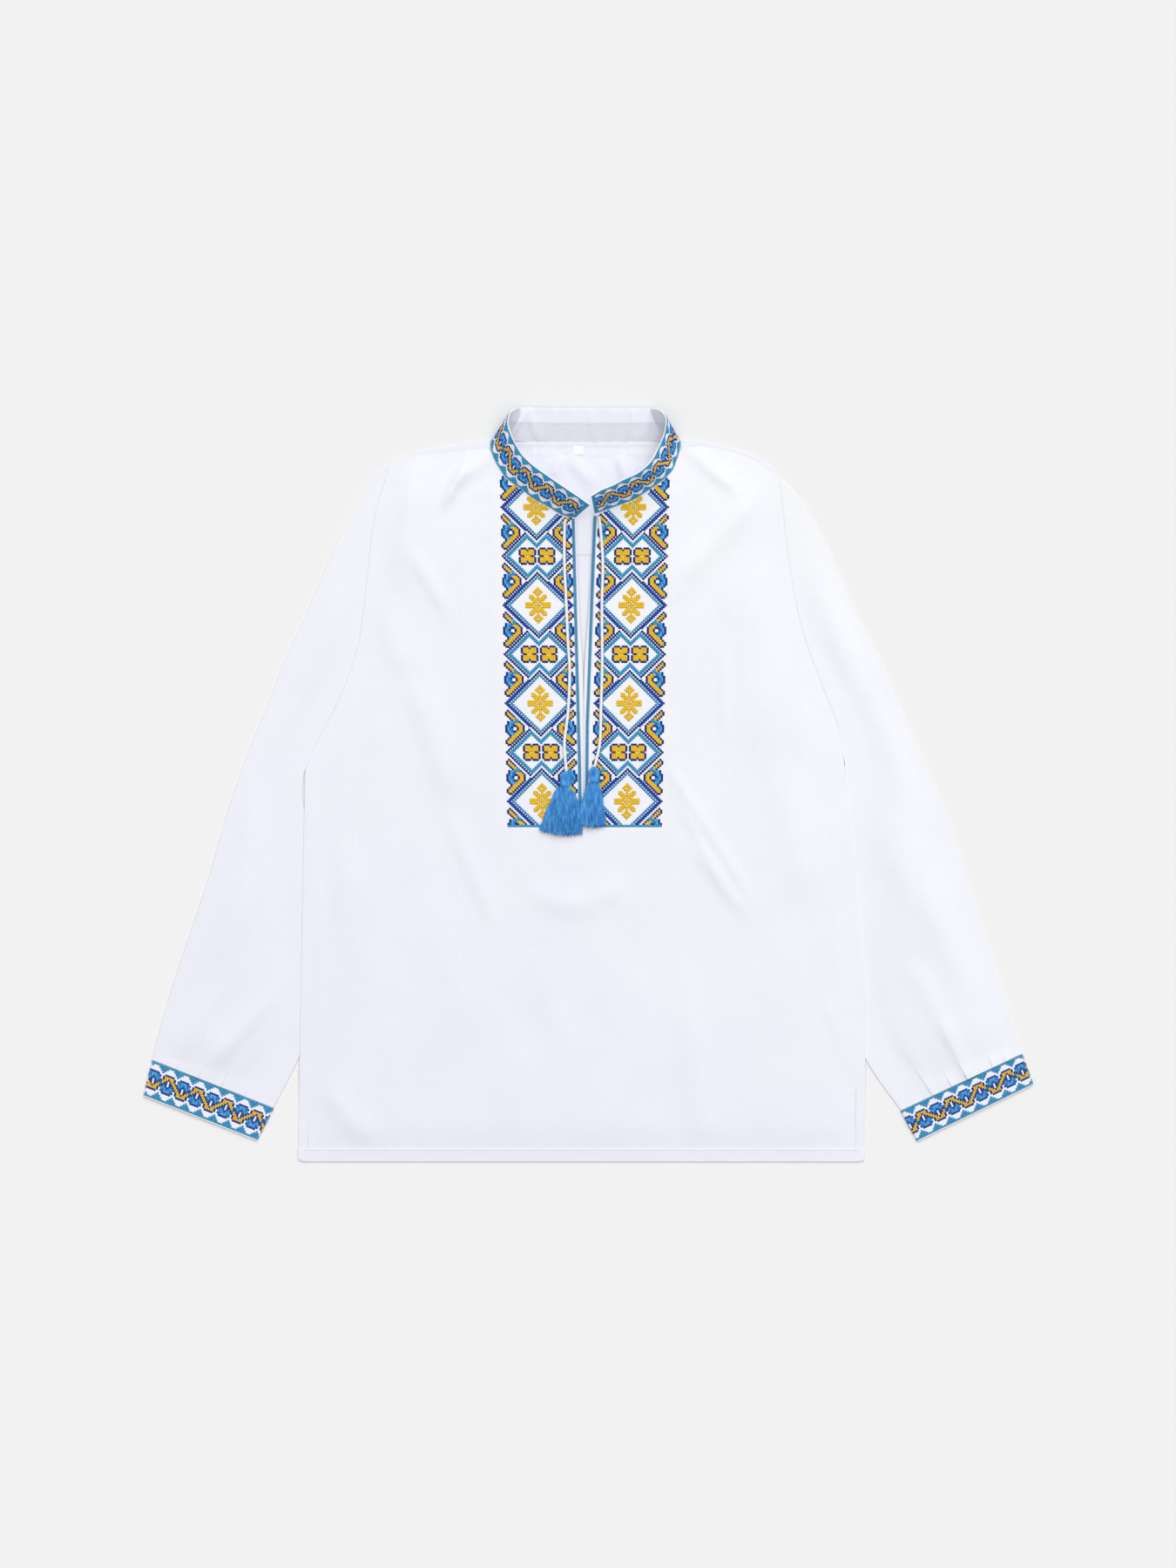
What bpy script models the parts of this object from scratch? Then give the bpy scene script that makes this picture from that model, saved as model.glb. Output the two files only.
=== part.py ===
"""Embroidered folk shirt with a stand collar, laid flat on its back with its front up.

Sizes are in millimetres in the shirt's own frame: X to the wearer's left hand as seen from above the
front, Y from hem to collar, Z up from the surface it lies on. Each piece of cloth is modelled by its
right side, and a Solidify modifier gives it its wall. Points are turned to metres when a mesh is made.
"""
import math
from collections import namedtuple

import bmesh
import bpy

MM = 0.001

# Cloth
WALL = 1.2
SEAM = 0.35
LAYERS = 2 * WALL + SEAM
FOLD_RADIUS = LAYERS / 2
FOLD_STEPS = 4

# Body
CENTRE_X = -4.2
LEVEL_Y = 219.7
SLIT_END_Y = -39.1
HEM_Y = -362.5
BACK_HEM_DROP = 1.2
TOP_ROWS = 4
SLIT_ROWS = 11
HEM_ROWS = 13
LOFT = 2.6
LOFT_REACH = 42.0
HEM_DEPTH = 12.0
HEM_RISE = 0.5
SLEEVE_UNDER = LAYERS + SEAM + 0.1
SLEEVE_SLOPE = 15.0

# Sleeves and cuffs
SLEEVE_ROWS_PER_SECTION = 2
SLEEVE_PUFF = 3.4
PUFF_REACH = 45.0
PUFF_START = 22.0
ARMHOLE_GAP = 0.9
BOTTOM_STEPS = 4
CUFF_THICKNESS = 3.4

# Collar
COLLAR_HEIGHT = 33.0
COLLAR_ROWS = 3
COLLAR_BACK_TOP = 2.6

# Cords and tassels
CORD_RADIUS = 1.5
STITCH_ALLOWANCE = 0.7
TASSEL_COLUMNS = 9
TASSEL_LAYERS = 3
STRAND_STEPS = 2
STRAND_INSET = 0.2

Spot = namedtuple("Spot", "x y")
Section = namedtuple("Section", "outer_x outer_y inner_x inner_y")
Fold = namedtuple("Fold", "x1 y1 x2 y2 height half_width")
Pleat = namedtuple("Pleat", "across length height width")
Band = namedtuple("Band", "base_x base_y top_x top_y")
Tassel = namedtuple("Tassel", "side head_x head_y foot_x foot_y head_half foot_half head_length")

# Seam where each shoulder meets the front, then the front neckline down to the slit
FRONT_TOP_LEFT = [
    Spot(-192.4, 309.8), Spot(-176.4, 315.5), Spot(-148.7, 319.5), Spot(-94.6, 325.0),
    Spot(-91.8, 317.0), Spot(-86.5, 307.0), Spot(-78.1, 295.3), Spot(-65.5, 286.0),
    Spot(-52.1, 275.9), Spot(-38.6, 268.4), Spot(-25.2, 260.6), Spot(-11.8, 257.9),
]
FRONT_TOP_RIGHT = [
    Spot(6.5, 261.5), Spot(19.3, 265.9), Spot(32.8, 270.9), Spot(45.4, 275.9),
    Spot(57.1, 283.5), Spot(71.4, 293.6), Spot(79.8, 302.8), Spot(85.7, 313.7),
    Spot(89.6, 326.0), Spot(119.3, 325.6), Spot(152.0, 316.3), Spot(183.1, 298.6),
]
# Fold line of each shoulder, then the back neckline
BACK_TOP_LEFT = [
    Spot(-192.4, 310.4), Spot(-176.4, 317.9), Spot(-148.7, 324.7), Spot(-121.8, 329.0),
    Spot(-94.6, 332.8), Spot(-91.8, 329.6), Spot(-60.0, 329.3), Spot(-4.2, 329.3),
]
BACK_TOP_RIGHT = [
    Spot(-4.2, 329.3), Spot(60.0, 329.3), Spot(86.0, 329.6), Spot(89.6, 332.8),
    Spot(119.3, 329.7), Spot(152.0, 320.5), Spot(175.6, 307.0), Spot(183.1, 299.5),
]
# Armhole seam, underarm and side edge
LEFT_EDGE = [
    Spot(-192.4, 310.4), Spot(-194.9, 296.9), Spot(-206.6, 253.3), Spot(-215.9, 171.8),
    Spot(-224.3, 124.7), Spot(-241.9, 78.5), Spot(-264.5, 34.5), Spot(-272.6, 13.9),
    Spot(-275.5, -138.2), Spot(-278.0, -271.7), Spot(-279.7, -370.0),
]
RIGHT_EDGE = [
    Spot(183.1, 299.5), Spot(187.3, 270.1), Spot(193.2, 219.7), Spot(205.8, 152.5),
    Spot(225.0, 97.9), Spot(239.4, 60.5), Spot(246.1, 26.5), Spot(252.0, -23.9),
    Spot(259.6, -107.9), Spot(264.6, -166.7), Spot(267.1, -205.0), Spot(267.1, -370.0),
]
SLIT_LEFT = [Spot(-11.3, 262.0), Spot(-10.6, 219.7), Spot(-7.6, 150.0), Spot(-4.6, 93.7), Spot(-4.5, -39.1)]
SLIT_RIGHT = [Spot(6.0, 262.0), Spot(4.2, 219.7), Spot(-0.4, 150.0), Spot(-3.8, 93.7), Spot(-3.9, -39.1)]

# Each half's upright lines: 0 at the slit, 1 at the armhole
SHOULDER_COLUMNS = (1.0, 0.967, 0.93, 0.89, 0.85, 0.80, 0.70, 0.58)
NECK_COLUMNS_LEFT = (0.4585, 0.443, 0.414, 0.367, 0.298, 0.223, 0.149, 0.074, 0.0)
NECK_COLUMNS_RIGHT = (0.4705, 0.449, 0.415, 0.367, 0.286, 0.22, 0.149, 0.07, 0.0)
BACK_NECK_X_LEFT = (-91.8, -50.0, -4.2)
BACK_NECK_X_RIGHT = (86.0, 45.0)

# Sections from the shoulder to the cuff
SLEEVE_LEFT = [
    Section(-195.7, 307.0, -193.4, 307.0),
    Section(-208.3, 294.4, -195.6, 295.6),
    Section(-233.5, 250.7, -207.5, 251.6),
    Section(-249.5, 218.0, -211.2, 219.7),
    Section(-272.2, 163.4, -217.2, 169.3),
    Section(-289.8, 125.6, -224.8, 124.7),
    Section(-310.8, 72.7, -244.6, 74.0),
    Section(-332.6, 18.1, -273.8, 11.0),
    Section(-350.3, -34.9, -270.5, -44.9),
    Section(-365.4, -87.8, -265.4, -103.7),
    Section(-388.1, -155.8, -262.1, -175.1),
    Section(-403.2, -201.2, -267.1, -227.2),
    Section(-414.0, -239.0, -278.5, -262.5),
    Section(-419.9, -264.5, -303.0, -310.8),
]
SLEEVE_RIGHT = [
    Section(188.2, 293.6, 185.4, 293.6),
    Section(197.4, 283.5, 186.6, 281.8),
    Section(215.9, 257.5, 189.8, 254.9),
    Section(236.9, 215.5, 194.2, 215.5),
    Section(256.2, 170.1, 203.0, 169.3),
    Section(279.7, 123.1, 217.0, 121.4),
    Section(301.6, 72.7, 235.0, 74.3),
    Section(325.9, 18.1, 247.4, 20.5),
    Section(347.8, -34.9, 241.9, -44.9),
    Section(362.9, -82.7, 241.1, -103.7),
    Section(378.0, -133.1, 244.4, -158.3),
    Section(390.6, -168.4, 251.2, -208.7),
    Section(405.7, -218.8, 265.9, -260.8),
    Section(418.2, -258.7, 301.5, -313.3),
]
SLEEVE_COLUMNS_LEFT = (0.0, 0.07, 0.16, 0.28, 0.4, 0.52, 0.64, 0.76, 0.87, 1.0)
SLEEVE_COLUMNS_RIGHT = (0.0, 0.08, 0.31, 0.65, 0.87, 1.0)
# Number of the section at which a sleeve closes under the arm
UNDERARM_SECTION = 7

# Corners of each cuff: its top edge is where the sleeve ends
CUFF_LEFT = [Section(-420.0, -265.0, -303.2, -311.2), Section(-428.4, -299.5, -319.2, -342.3)]
CUFF_RIGHT = [Section(418.3, -259.1, 301.6, -313.7), Section(429.2, -288.5, 317.5, -343.1)]

# Soft folds of the front, highest in their middle
FRONT_FOLDS = [
    Fold(-82.0, 322.0, -145.0, 268.0, 2.2, 11.0),
    Fold(92.0, 324.0, 142.0, 284.0, 2.4, 12.0),
    Fold(84.8, 183.5, 169.7, 270.9, 2.2, 15.0),
    Fold(90.7, 13.9, 137.8, -120.5, 2.6, 16.0),
    Fold(-49.6, -52.0, -8.4, -116.0, 1.8, 15.0),
    Fold(30.0, -52.0, -8.4, -116.0, 1.8, 15.0),
    Fold(-177.2, 229.7, -131.0, 150.0, 2.0, 18.0),
    Fold(-165.5, 95.3, -131.0, 2.1, 2.4, 18.0),
    Fold(-253.7, -300.0, -212.5, -340.0, 1.8, 13.0),
    Fold(84.8, -300.0, 108.4, -340.0, 1.6, 14.0),
    Fold(232.0, -210.0, 250.0, -275.0, 1.8, 12.0),
]
LEFT_SLEEVE_FOLDS = [
    Fold(-370.4, -262.0, -305.8, -200.0, 2.2, 14.0),
    Fold(-300.0, 60.0, -340.0, -80.0, 2.0, 18.0),
]
RIGHT_SLEEVE_FOLDS = [
    Fold(280.0, -215.0, 318.4, -278.0, 2.4, 13.0),
    Fold(341.9, -230.0, 365.4, -278.0, 1.8, 11.0),
    Fold(272.0, 60.0, 325.0, -80.0, 2.0, 18.0),
]
# Pleats pressed into the right sleeve where it meets its cuff, counted from the outer edge
RIGHT_SLEEVE_PLEATS = [
    Pleat(0.23, 22.0, 1.3, 8.0),
    Pleat(0.43, 24.0, 1.3, 8.0),
    Pleat(0.56, 22.0, 1.3, 8.0),
    Pleat(0.74, 42.0, 1.4, 9.0),
]

# Collar band from its left end round the back to its right end
COLLAR = [
    Band(-12.6, 257.9, 1.7, 268.4), Band(-25.2, 260.6, -10.9, 277.6), Band(-38.6, 268.4, -26.9, 288.5),
    Band(-52.1, 275.9, -39.5, 297.4), Band(-65.5, 286.0, -52.9, 307.0), Band(-78.1, 295.3, -63.0, 317.1),
    Band(-86.5, 307.0, -68.9, 326.3), Band(-91.6, 317.1, -73.5, 335.6), Band(-94.1, 328.0, -76.9, 346.5),
    Band(-90.7, 334.7, -75.6, 356.6), Band(-81.5, 334.3, -69.7, 362.5), Band(-69.7, 331.8, -59.6, 364.1),
    Band(-35.0, 330.3, -30.0, 363.9), Band(0.0, 330.1, 0.0, 363.7), Band(35.0, 330.3, 30.0, 363.7),
    Band(68.9, 331.8, 57.1, 363.3), Band(79.0, 334.3, 68.9, 360.4), Band(87.4, 333.9, 74.8, 353.2),
    Band(89.0, 327.2, 74.8, 344.8), Band(85.7, 314.6, 72.7, 335.6), Band(81.5, 303.7, 67.2, 323.0),
    Band(71.4, 293.6, 60.5, 310.4), Band(57.1, 283.5, 48.7, 299.5), Band(45.4, 275.9, 34.4, 292.7),
    Band(32.8, 270.9, 23.5, 286.9), Band(19.3, 265.9, 13.4, 282.7), Band(6.7, 261.7, 3.4, 276.8),
]
# The stretch of the band that lies on the surface, by place in the table
COLLAR_BACK = (9.0, 11.0, 15.0, 17.0)

# Tape over the back neck seam, size tab on it, and the underlap behind the slit
TAPE = Section(-68.0, 328.9, 68.9, 317.6)
SIZE_TAB = Section(-16.2, 328.5, -2.8, 317.0)
UNDERLAP = Section(-17.0, 256.0, 9.5, 222.2)

# Routes of the cords, from the neck seam to their tassels
CORD_LEFT = [
    Spot(-21.6, 256.4), Spot(-22.6, 246.0), Spot(-22.8, 214.6), Spot(-21.0, 176.0), Spot(-19.3, 137.3),
    Spot(-17.6, 108.8), Spot(-19.3, 70.1), Spot(-22.7, 41.6), Spot(-20.9, 14.4),
]
CORD_RIGHT = [
    Spot(10.4, 259.0), Spot(11.8, 249.0), Spot(14.3, 214.6), Spot(13.4, 176.0), Spot(13.6, 118.0),
    Spot(12.6, 79.4), Spot(11.4, 41.6), Spot(6.4, 18.4),
]
CORD_POINTS = 31
TASSELS = [
    Tassel("left", -20.9, 14.0, -30.2, -48.3, 5.0, 17.0, 14.0),
    Tassel("right", 6.4, 18.0, 3.4, -40.7, 5.0, 14.2, 14.0),
]
TASSEL_HEAD_HEIGHT = 6.6


def clear_scene():
    for thing in list(bpy.data.objects):
        bpy.data.objects.remove(thing, do_unlink=True)


def material(name, colour, roughness):
    made = bpy.data.materials.new(name)
    made.use_nodes = True
    shader = made.node_tree.nodes["Principled BSDF"]
    shader.inputs["Base Color"].default_value = (*colour, 1.0)
    shader.inputs["Roughness"].default_value = roughness
    shader.inputs["Metallic"].default_value = 0.0
    return made


def lerp(start, end, share):
    return start + (end - start) * share


def smooth(value):
    value = min(1.0, max(0.0, value))
    return value * value * (3.0 - 2.0 * value)


def x_at(edge, y):
    """The x of an edge at height y, on straight runs between the table's spots."""
    for upper, lower in zip(edge, edge[1:]):
        if y >= lower.y:
            share = (upper.y - y) / (upper.y - lower.y)
            return lerp(upper.x, lower.x, max(0.0, share))
    return edge[-1].x


def y_at(edge, x):
    """The y of a top edge at x."""
    for near, far in zip(edge, edge[1:]):
        if x <= far.x:
            return lerp(near.y, far.y, max(0.0, (x - near.x) / (far.x - near.x)))
    return edge[-1].y


def along(table, place):
    """A row of a table at a place between its rows, on a smooth curve through all of them."""
    last = len(table) - 1
    place = min(max(place, 0.0), float(last))
    index = min(int(place), last - 1)
    share = place - index
    rows = [table[min(max(index + step, 0), last)] for step in (-1, 0, 1, 2)]
    values = []
    for before, start, end, after in zip(*rows):
        bend = 2 * before - 5 * start + 4 * end - after
        twist = 3 * (start - end) + after - before
        values.append(start + 0.5 * share * (end - before + share * (bend + share * twist)))
    return type(table[0])(*values)


def fold_height(folds, x, y):
    """Soft ridges: round across, and fading at both ends."""
    height = 0.0
    for fold in folds:
        run_x = fold.x2 - fold.x1
        run_y = fold.y2 - fold.y1
        length = math.hypot(run_x, run_y)
        share = ((x - fold.x1) * run_x + (y - fold.y1) * run_y) / length**2
        off = ((x - fold.x1) * run_y - (y - fold.y1) * run_x) / length
        ends = smooth((share + 0.25) / 0.5) * smooth((1.25 - share) / 0.5)
        height += fold.height * ends * math.exp(-((off / fold.half_width) ** 2))
    return height


def sleeve_margin(sections, y):
    """The x of a sleeve's hidden inner edge at height y."""
    lower = sections[UNDERARM_SECTION:-1]
    return x_at([Spot(row.inner_x, row.inner_y) for row in lower], y)


def over_sleeve(x, y):
    """How far the body is lifted where it lies on a sleeve's inner margin."""
    lift = 0.0
    for sections, inward in ((SLEEVE_LEFT, 1), (SLEEVE_RIGHT, -1)):
        top_y = sections[UNDERARM_SECTION].inner_y
        low_y = sections[-2].inner_y
        depth = (x - sleeve_margin(sections, min(top_y, max(low_y, y)))) * inward
        across = 1.0 - smooth((depth - 3.0) / SLEEVE_SLOPE)
        down = smooth((top_y + 46.0 - y) / 40.0) * smooth((y - low_y + 52.0) / 40.0)
        lift = max(lift, across * down)
    return SLEEVE_UNDER * lift


def side_room(x, y):
    """Distance from the nearer side edge."""
    return min(x - x_at(LEFT_EDGE, y), x_at(RIGHT_EDGE, y) - x)


def front_height(x, y):
    """Height of the front's right side."""
    inside = smooth(side_room(x, y) / LOFT_REACH) * smooth((y - HEM_Y + 4.0) / LOFT_REACH)
    shoulder = smooth((LEVEL_Y + 112.0 - y) / 60.0)
    hem = HEM_RISE * (1.0 if y < HEM_Y + HEM_DEPTH else 0.0)
    raised = inside * shoulder * (LOFT + fold_height(FRONT_FOLDS, x, y))
    return LAYERS + over_sleeve(x, y) + raised + hem


def cloth_object(name, points, faces, look, wall=WALL):
    """A piece of cloth from its right side, its wall set inwards."""
    mesh = bpy.data.meshes.new(name)
    mesh.from_pydata([(x * MM, y * MM, z * MM) for x, y, z in points], [], faces)
    mesh.materials.append(look)
    mesh.shade_smooth()
    made = bpy.data.objects.new(name, mesh)
    bpy.context.collection.objects.link(made)
    thickness = made.modifiers.new("wall", "SOLIDIFY")
    thickness.thickness = wall * MM
    thickness.offset = -1.0
    return made


def body_levels(hem_drop=0.0):
    """Heights of the level rows under the yoke, one of them at the slit's end."""
    slit = [lerp(LEVEL_Y, SLIT_END_Y, row / SLIT_ROWS) for row in range(SLIT_ROWS + 1)]
    skirt = [lerp(SLIT_END_Y, HEM_Y + HEM_DEPTH, row / HEM_ROWS) for row in range(1, HEM_ROWS + 1)]
    return slit + skirt + [HEM_Y + HEM_DEPTH - 0.6, HEM_Y - hem_drop]


def body_x(left_half, column, y, middle_left, middle_right):
    if left_half:
        return lerp(x_at(middle_left, y), x_at(LEFT_EDGE, y), column)
    return lerp(x_at(middle_right, y), x_at(RIGHT_EDGE, y), column)


def body_column(left_half, column, top, middles, levels):
    """Points of one upright line of a body panel, from its top edge to its hem."""
    edge = LEFT_EDGE if left_half else RIGHT_EDGE
    corner = top[0] if left_half else top[-1]
    inner = top[-1] if left_half else top[0]
    top_x = lerp(inner.x, corner.x, column)
    top_y = y_at(top, top_x)
    level_x = body_x(left_half, column, LEVEL_Y, *middles)
    points = []
    for row in range(TOP_ROWS):
        share = row / TOP_ROWS
        y = lerp(top_y, LEVEL_Y, share)
        straight = lerp(corner.x, x_at(edge, LEVEL_Y), share)
        bow = x_at(edge, lerp(corner.y, LEVEL_Y, share)) - straight
        points.append((lerp(top_x, level_x, share) + bow * column**2, y))
    points += [(body_x(left_half, column, y, *middles), y) for y in levels]
    return points


def rounded_corner(x, y, hem_y):
    """Pull the hem's corners in to a small round."""
    room = side_room(x, y)
    corner = 4.0
    if room < corner and y < hem_y + corner:
        return y + (corner - room) * 0.45
    return y


def make_front(look):
    """Front panel: its right side faces up, open along the slit."""
    levels = body_levels()
    middles = (SLIT_LEFT, SLIT_RIGHT)
    shares = SHOULDER_COLUMNS + NECK_COLUMNS_LEFT
    left = [body_column(True, share, FRONT_TOP_LEFT, middles, levels) for share in shares]
    shares = reversed(SHOULDER_COLUMNS + NECK_COLUMNS_RIGHT)
    right = [body_column(False, share, FRONT_TOP_RIGHT, middles, levels) for share in shares]
    rows = len(left[0])
    closed_row = TOP_ROWS + SLIT_ROWS
    points = []
    index = {}
    for number, column in enumerate(left + right):
        for row, (x, y) in enumerate(column):
            shared = (len(left) - 1, row)
            if number == len(left) and row >= closed_row:
                index[number, row] = index[shared]
                continue
            y = rounded_corner(x, y, HEM_Y)
            index[number, row] = len(points)
            points.append((x, y, front_height(x, y)))
    faces = []
    for number in range(len(left) + len(right) - 1):
        if number == len(left) - 1:
            continue
        for row in range(rows - 1):
            corners = [(number, row), (number, row + 1), (number + 1, row + 1), (number + 1, row)]
            faces.append([index[corner] for corner in corners])
    return cloth_object("front", points, faces, look)


def back_shares(slit_x, corner_x, neck_share, neck_x):
    """The back's upright lines on one half, which start where the front's do along the shoulder."""
    shares = [*SHOULDER_COLUMNS, neck_share]
    starts = [lerp(slit_x, corner_x, share) for share in shares] + list(neck_x)
    return [(x - CENTRE_X) / (corner_x - CENTRE_X) for x in starts]


def make_back(look):
    """Back panel: its right side is on the surface, and it wraps over each shoulder to the front's seam."""
    levels = body_levels(BACK_HEM_DROP)
    middle = [Spot(CENTRE_X, 400.0), Spot(CENTRE_X, -400.0)]
    middles = (middle, middle)
    shares = back_shares(FRONT_TOP_LEFT[-1].x, FRONT_TOP_LEFT[0].x, NECK_COLUMNS_LEFT[0], BACK_NECK_X_LEFT)
    columns = [body_column(True, share, BACK_TOP_LEFT, middles, levels) for share in shares]
    shares = back_shares(FRONT_TOP_RIGHT[0].x, FRONT_TOP_RIGHT[-1].x, NECK_COLUMNS_RIGHT[0], BACK_NECK_X_RIGHT)
    columns += [body_column(False, share, BACK_TOP_RIGHT, middles, levels) for share in reversed(shares)]
    last = len(columns) - 1
    shoulder_count = len(SHOULDER_COLUMNS) + 1
    points = []
    index = {}
    for number, column in enumerate(columns):
        for row, (x, y) in enumerate(column):
            y = rounded_corner(x, y, HEM_Y - BACK_HEM_DROP)
            index[number, row] = len(points)
            points.append((x, y, over_sleeve(x, y)))
    for number, column in enumerate(columns):
        shoulder_left = number < shoulder_count
        if not shoulder_left and number <= last - shoulder_count:
            continue
        x, fold_y = column[0]
        seam_y = y_at(FRONT_TOP_LEFT if shoulder_left else FRONT_TOP_RIGHT, x) + SEAM
        centre_y = max(fold_y - FOLD_RADIUS, seam_y + 0.4)
        points[index[number, 0]] = (x, centre_y, 0.0)
        for step in range(1, FOLD_STEPS + 1):
            turn = math.pi * step / FOLD_STEPS
            index[number, -step] = len(points)
            bulge = FOLD_RADIUS * math.sin(turn)
            points.append((x, centre_y + bulge, FOLD_RADIUS - FOLD_RADIUS * math.cos(turn)))
        index[number, -FOLD_STEPS - 1] = len(points)
        points.append((x, seam_y, LAYERS))
    faces = []
    for number in range(last):
        for row in range(-FOLD_STEPS - 1, len(columns[0]) - 1):
            corners = [(number, row), (number + 1, row), (number + 1, row + 1), (number, row + 1)]
            if all(corner in index for corner in corners):
                faces.append([index[corner] for corner in corners])
    return cloth_object("back", points, faces, look)


def pleat_height(pleats, across, from_cuff, width):
    """A pleat rises slowly to its fold and drops beside it."""
    height = 0.0
    for pleat in pleats:
        off = (across - pleat.across) * width
        if -pleat.width <= off <= 0.0:
            height += pleat.height * (1.0 + off / pleat.width) * smooth(1.2 - from_cuff / pleat.length)
    return height


def make_sleeve(name, sections, edge, columns, folds, pleats, look):
    """A flattened tube of cloth, open at the armhole and at the cuff."""
    side = -1 if sections[0].outer_x < 0 else 1
    shares = list(columns)
    for pleat in pleats:
        shares += [pleat.across - 0.06, pleat.across, pleat.across + 0.012]
    shares = sorted(shares)
    low_shares = [step / BOTTOM_STEPS for step in range(BOTTOM_STEPS + 1)]
    rows = (len(sections) - 1) * SLEEVE_ROWS_PER_SECTION
    closed_row = UNDERARM_SECTION * SLEEVE_ROWS_PER_SECTION
    points = []
    rings = []
    for row in range(rows + 1):
        section = along(sections, row / SLEEVE_ROWS_PER_SECTION)
        if row < closed_row:
            section = section._replace(inner_x=x_at(edge, section.inner_y) + side * ARMHOLE_GAP)
        run_x = section.inner_x - section.outer_x
        run_y = section.inner_y - section.outer_y
        width = math.hypot(run_x, run_y)
        radius = min(FOLD_RADIUS, width * 0.4)
        from_cuff = math.hypot(section.inner_x - sections[-1].inner_x, section.inner_y - sections[-1].inner_y)
        closed = row >= closed_row
        inner_end = width - radius if closed else width
        top = []
        bottom = []
        for share in shares:
            off = lerp(radius, inner_end, share)
            x = section.outer_x + run_x * off / width
            y = section.outer_y + run_y * off / width
            room = smooth(off / PUFF_REACH) * smooth((width - off - PUFF_START * closed) / PUFF_REACH)
            ends = smooth(row / 8) * lerp(0.35, 1.0, smooth(from_cuff / 40.0))
            lift = room * ends * SLEEVE_PUFF + room * fold_height(folds, x, y)
            lift += pleat_height(pleats, share, from_cuff, width) * min(1.0, room * 4.0)
            top.append((x, y, LAYERS + lift))
        for share in low_shares:
            off = lerp(radius, inner_end, share)
            bottom.append((section.outer_x + run_x * off / width, section.outer_y + run_y * off / width, 0.0))
        outer_fold = []
        inner_fold = []
        for step in range(1, FOLD_STEPS):
            turn = math.pi * step / FOLD_STEPS
            bulge = math.sin(turn) * radius
            height = FOLD_RADIUS - FOLD_RADIUS * math.cos(turn)
            off = radius - bulge
            outer_fold.append((section.outer_x + run_x * off / width, section.outer_y + run_y * off / width, height))
            off = inner_end + bulge
            x = section.outer_x + run_x * off / width
            inner_fold.append((x, section.outer_y + run_y * off / width, LAYERS - height))
        ring = list(reversed(bottom)) + outer_fold + top
        if closed:
            ring += inner_fold
        rings.append((len(points), len(ring), closed))
        points += ring
    flat = len(shares) + len(low_shares) + FOLD_STEPS - 1
    faces = []
    for (start, count, closed), (after, _, _) in zip(rings, rings[1:]):
        steps = count if closed else flat - 1
        for step in range(steps):
            follow = (step + 1) % count
            face = [start + step, start + follow, after + follow, after + step]
            faces.append(face if side > 0 else list(reversed(face)))
    return cloth_object(name, points, faces, look)


def make_cuff(name, corners, look):
    """A straight band folded flat, open at both ends."""
    side = -1 if corners[0].outer_x < 0 else 1
    radius = CUFF_THICKNESS / 2
    points = []
    shares = [0.0, 0.04, 0.5, 0.96, 1.0]
    rows = [0.0, 0.5, 0.94, 1.0]
    for row in rows:
        section = Section(*(lerp(top, low, row) for top, low in zip(*corners)))
        run_x = section.inner_x - section.outer_x
        run_y = section.inner_y - section.outer_y
        width = math.hypot(run_x, run_y)
        trim = radius + (1.6 if row == 1.0 else 0.0)
        spots = [lerp(trim, width - trim, share) for share in shares]
        bottom = [(off, 0.0) for off in reversed(spots)]
        top = [(off, CUFF_THICKNESS) for off in spots]
        outer_fold = []
        inner_fold = []
        for step in range(1, FOLD_STEPS):
            turn = math.pi * step / FOLD_STEPS
            height = radius - radius * math.cos(turn)
            outer_fold.append((trim - math.sin(turn) * radius, height))
            inner_fold.append((width - trim + math.sin(turn) * radius, CUFF_THICKNESS - height))
        for off, z in bottom + outer_fold + top + inner_fold:
            points.append((section.outer_x + run_x * off / width, section.outer_y + run_y * off / width, z))
    count = len(points) // len(rows)
    faces = []
    for row in range(len(rows) - 1):
        for step in range(count):
            follow = (step + 1) % count
            start = row * count
            after = start + count
            face = [start + step, start + follow, after + follow, after + step]
            faces.append(face if side > 0 else list(reversed(face)))
    return cloth_object(name, points, faces, look)


def collar_base_height(place, band):
    """The band stands on the front, and comes down to the surface behind the back neckline."""
    left_start, left_end, right_start, right_end = COLLAR_BACK
    down = smooth((place - left_start) / (left_end - left_start))
    down *= smooth((right_end - place) / (right_end - right_start))
    on_front = front_height(band.base_x, min(band.base_y, LEVEL_Y + 106.0)) + SEAM + 0.6
    return on_front * (1.0 - down)


def make_collar(look):
    """Stand collar: its right side shows in front, and its back half lies with the wrong side up."""
    places = [step / 2 for step in range(2 * (len(COLLAR) - 1) + 1)]
    points = []
    for place in places:
        band = along(COLLAR, place)
        reach = math.hypot(band.top_x - band.base_x, band.top_y - band.base_y)
        rise = max(COLLAR_BACK_TOP, math.sqrt(max(0.0, COLLAR_HEIGHT**2 - reach**2)))
        base_z = collar_base_height(place, band)
        for row in range(COLLAR_ROWS + 1):
            share = row / COLLAR_ROWS
            x = lerp(band.base_x, band.top_x, share)
            y = lerp(band.base_y, band.top_y, share)
            points.append((x, y, base_z + rise * share))
    faces = []
    across = COLLAR_ROWS + 1
    for step in range(len(places) - 1):
        for row in range(COLLAR_ROWS):
            start = step * across + row
            faces.append([start, start + 1, start + across + 1, start + across])
    return cloth_object("collar", points, faces, look)


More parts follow.
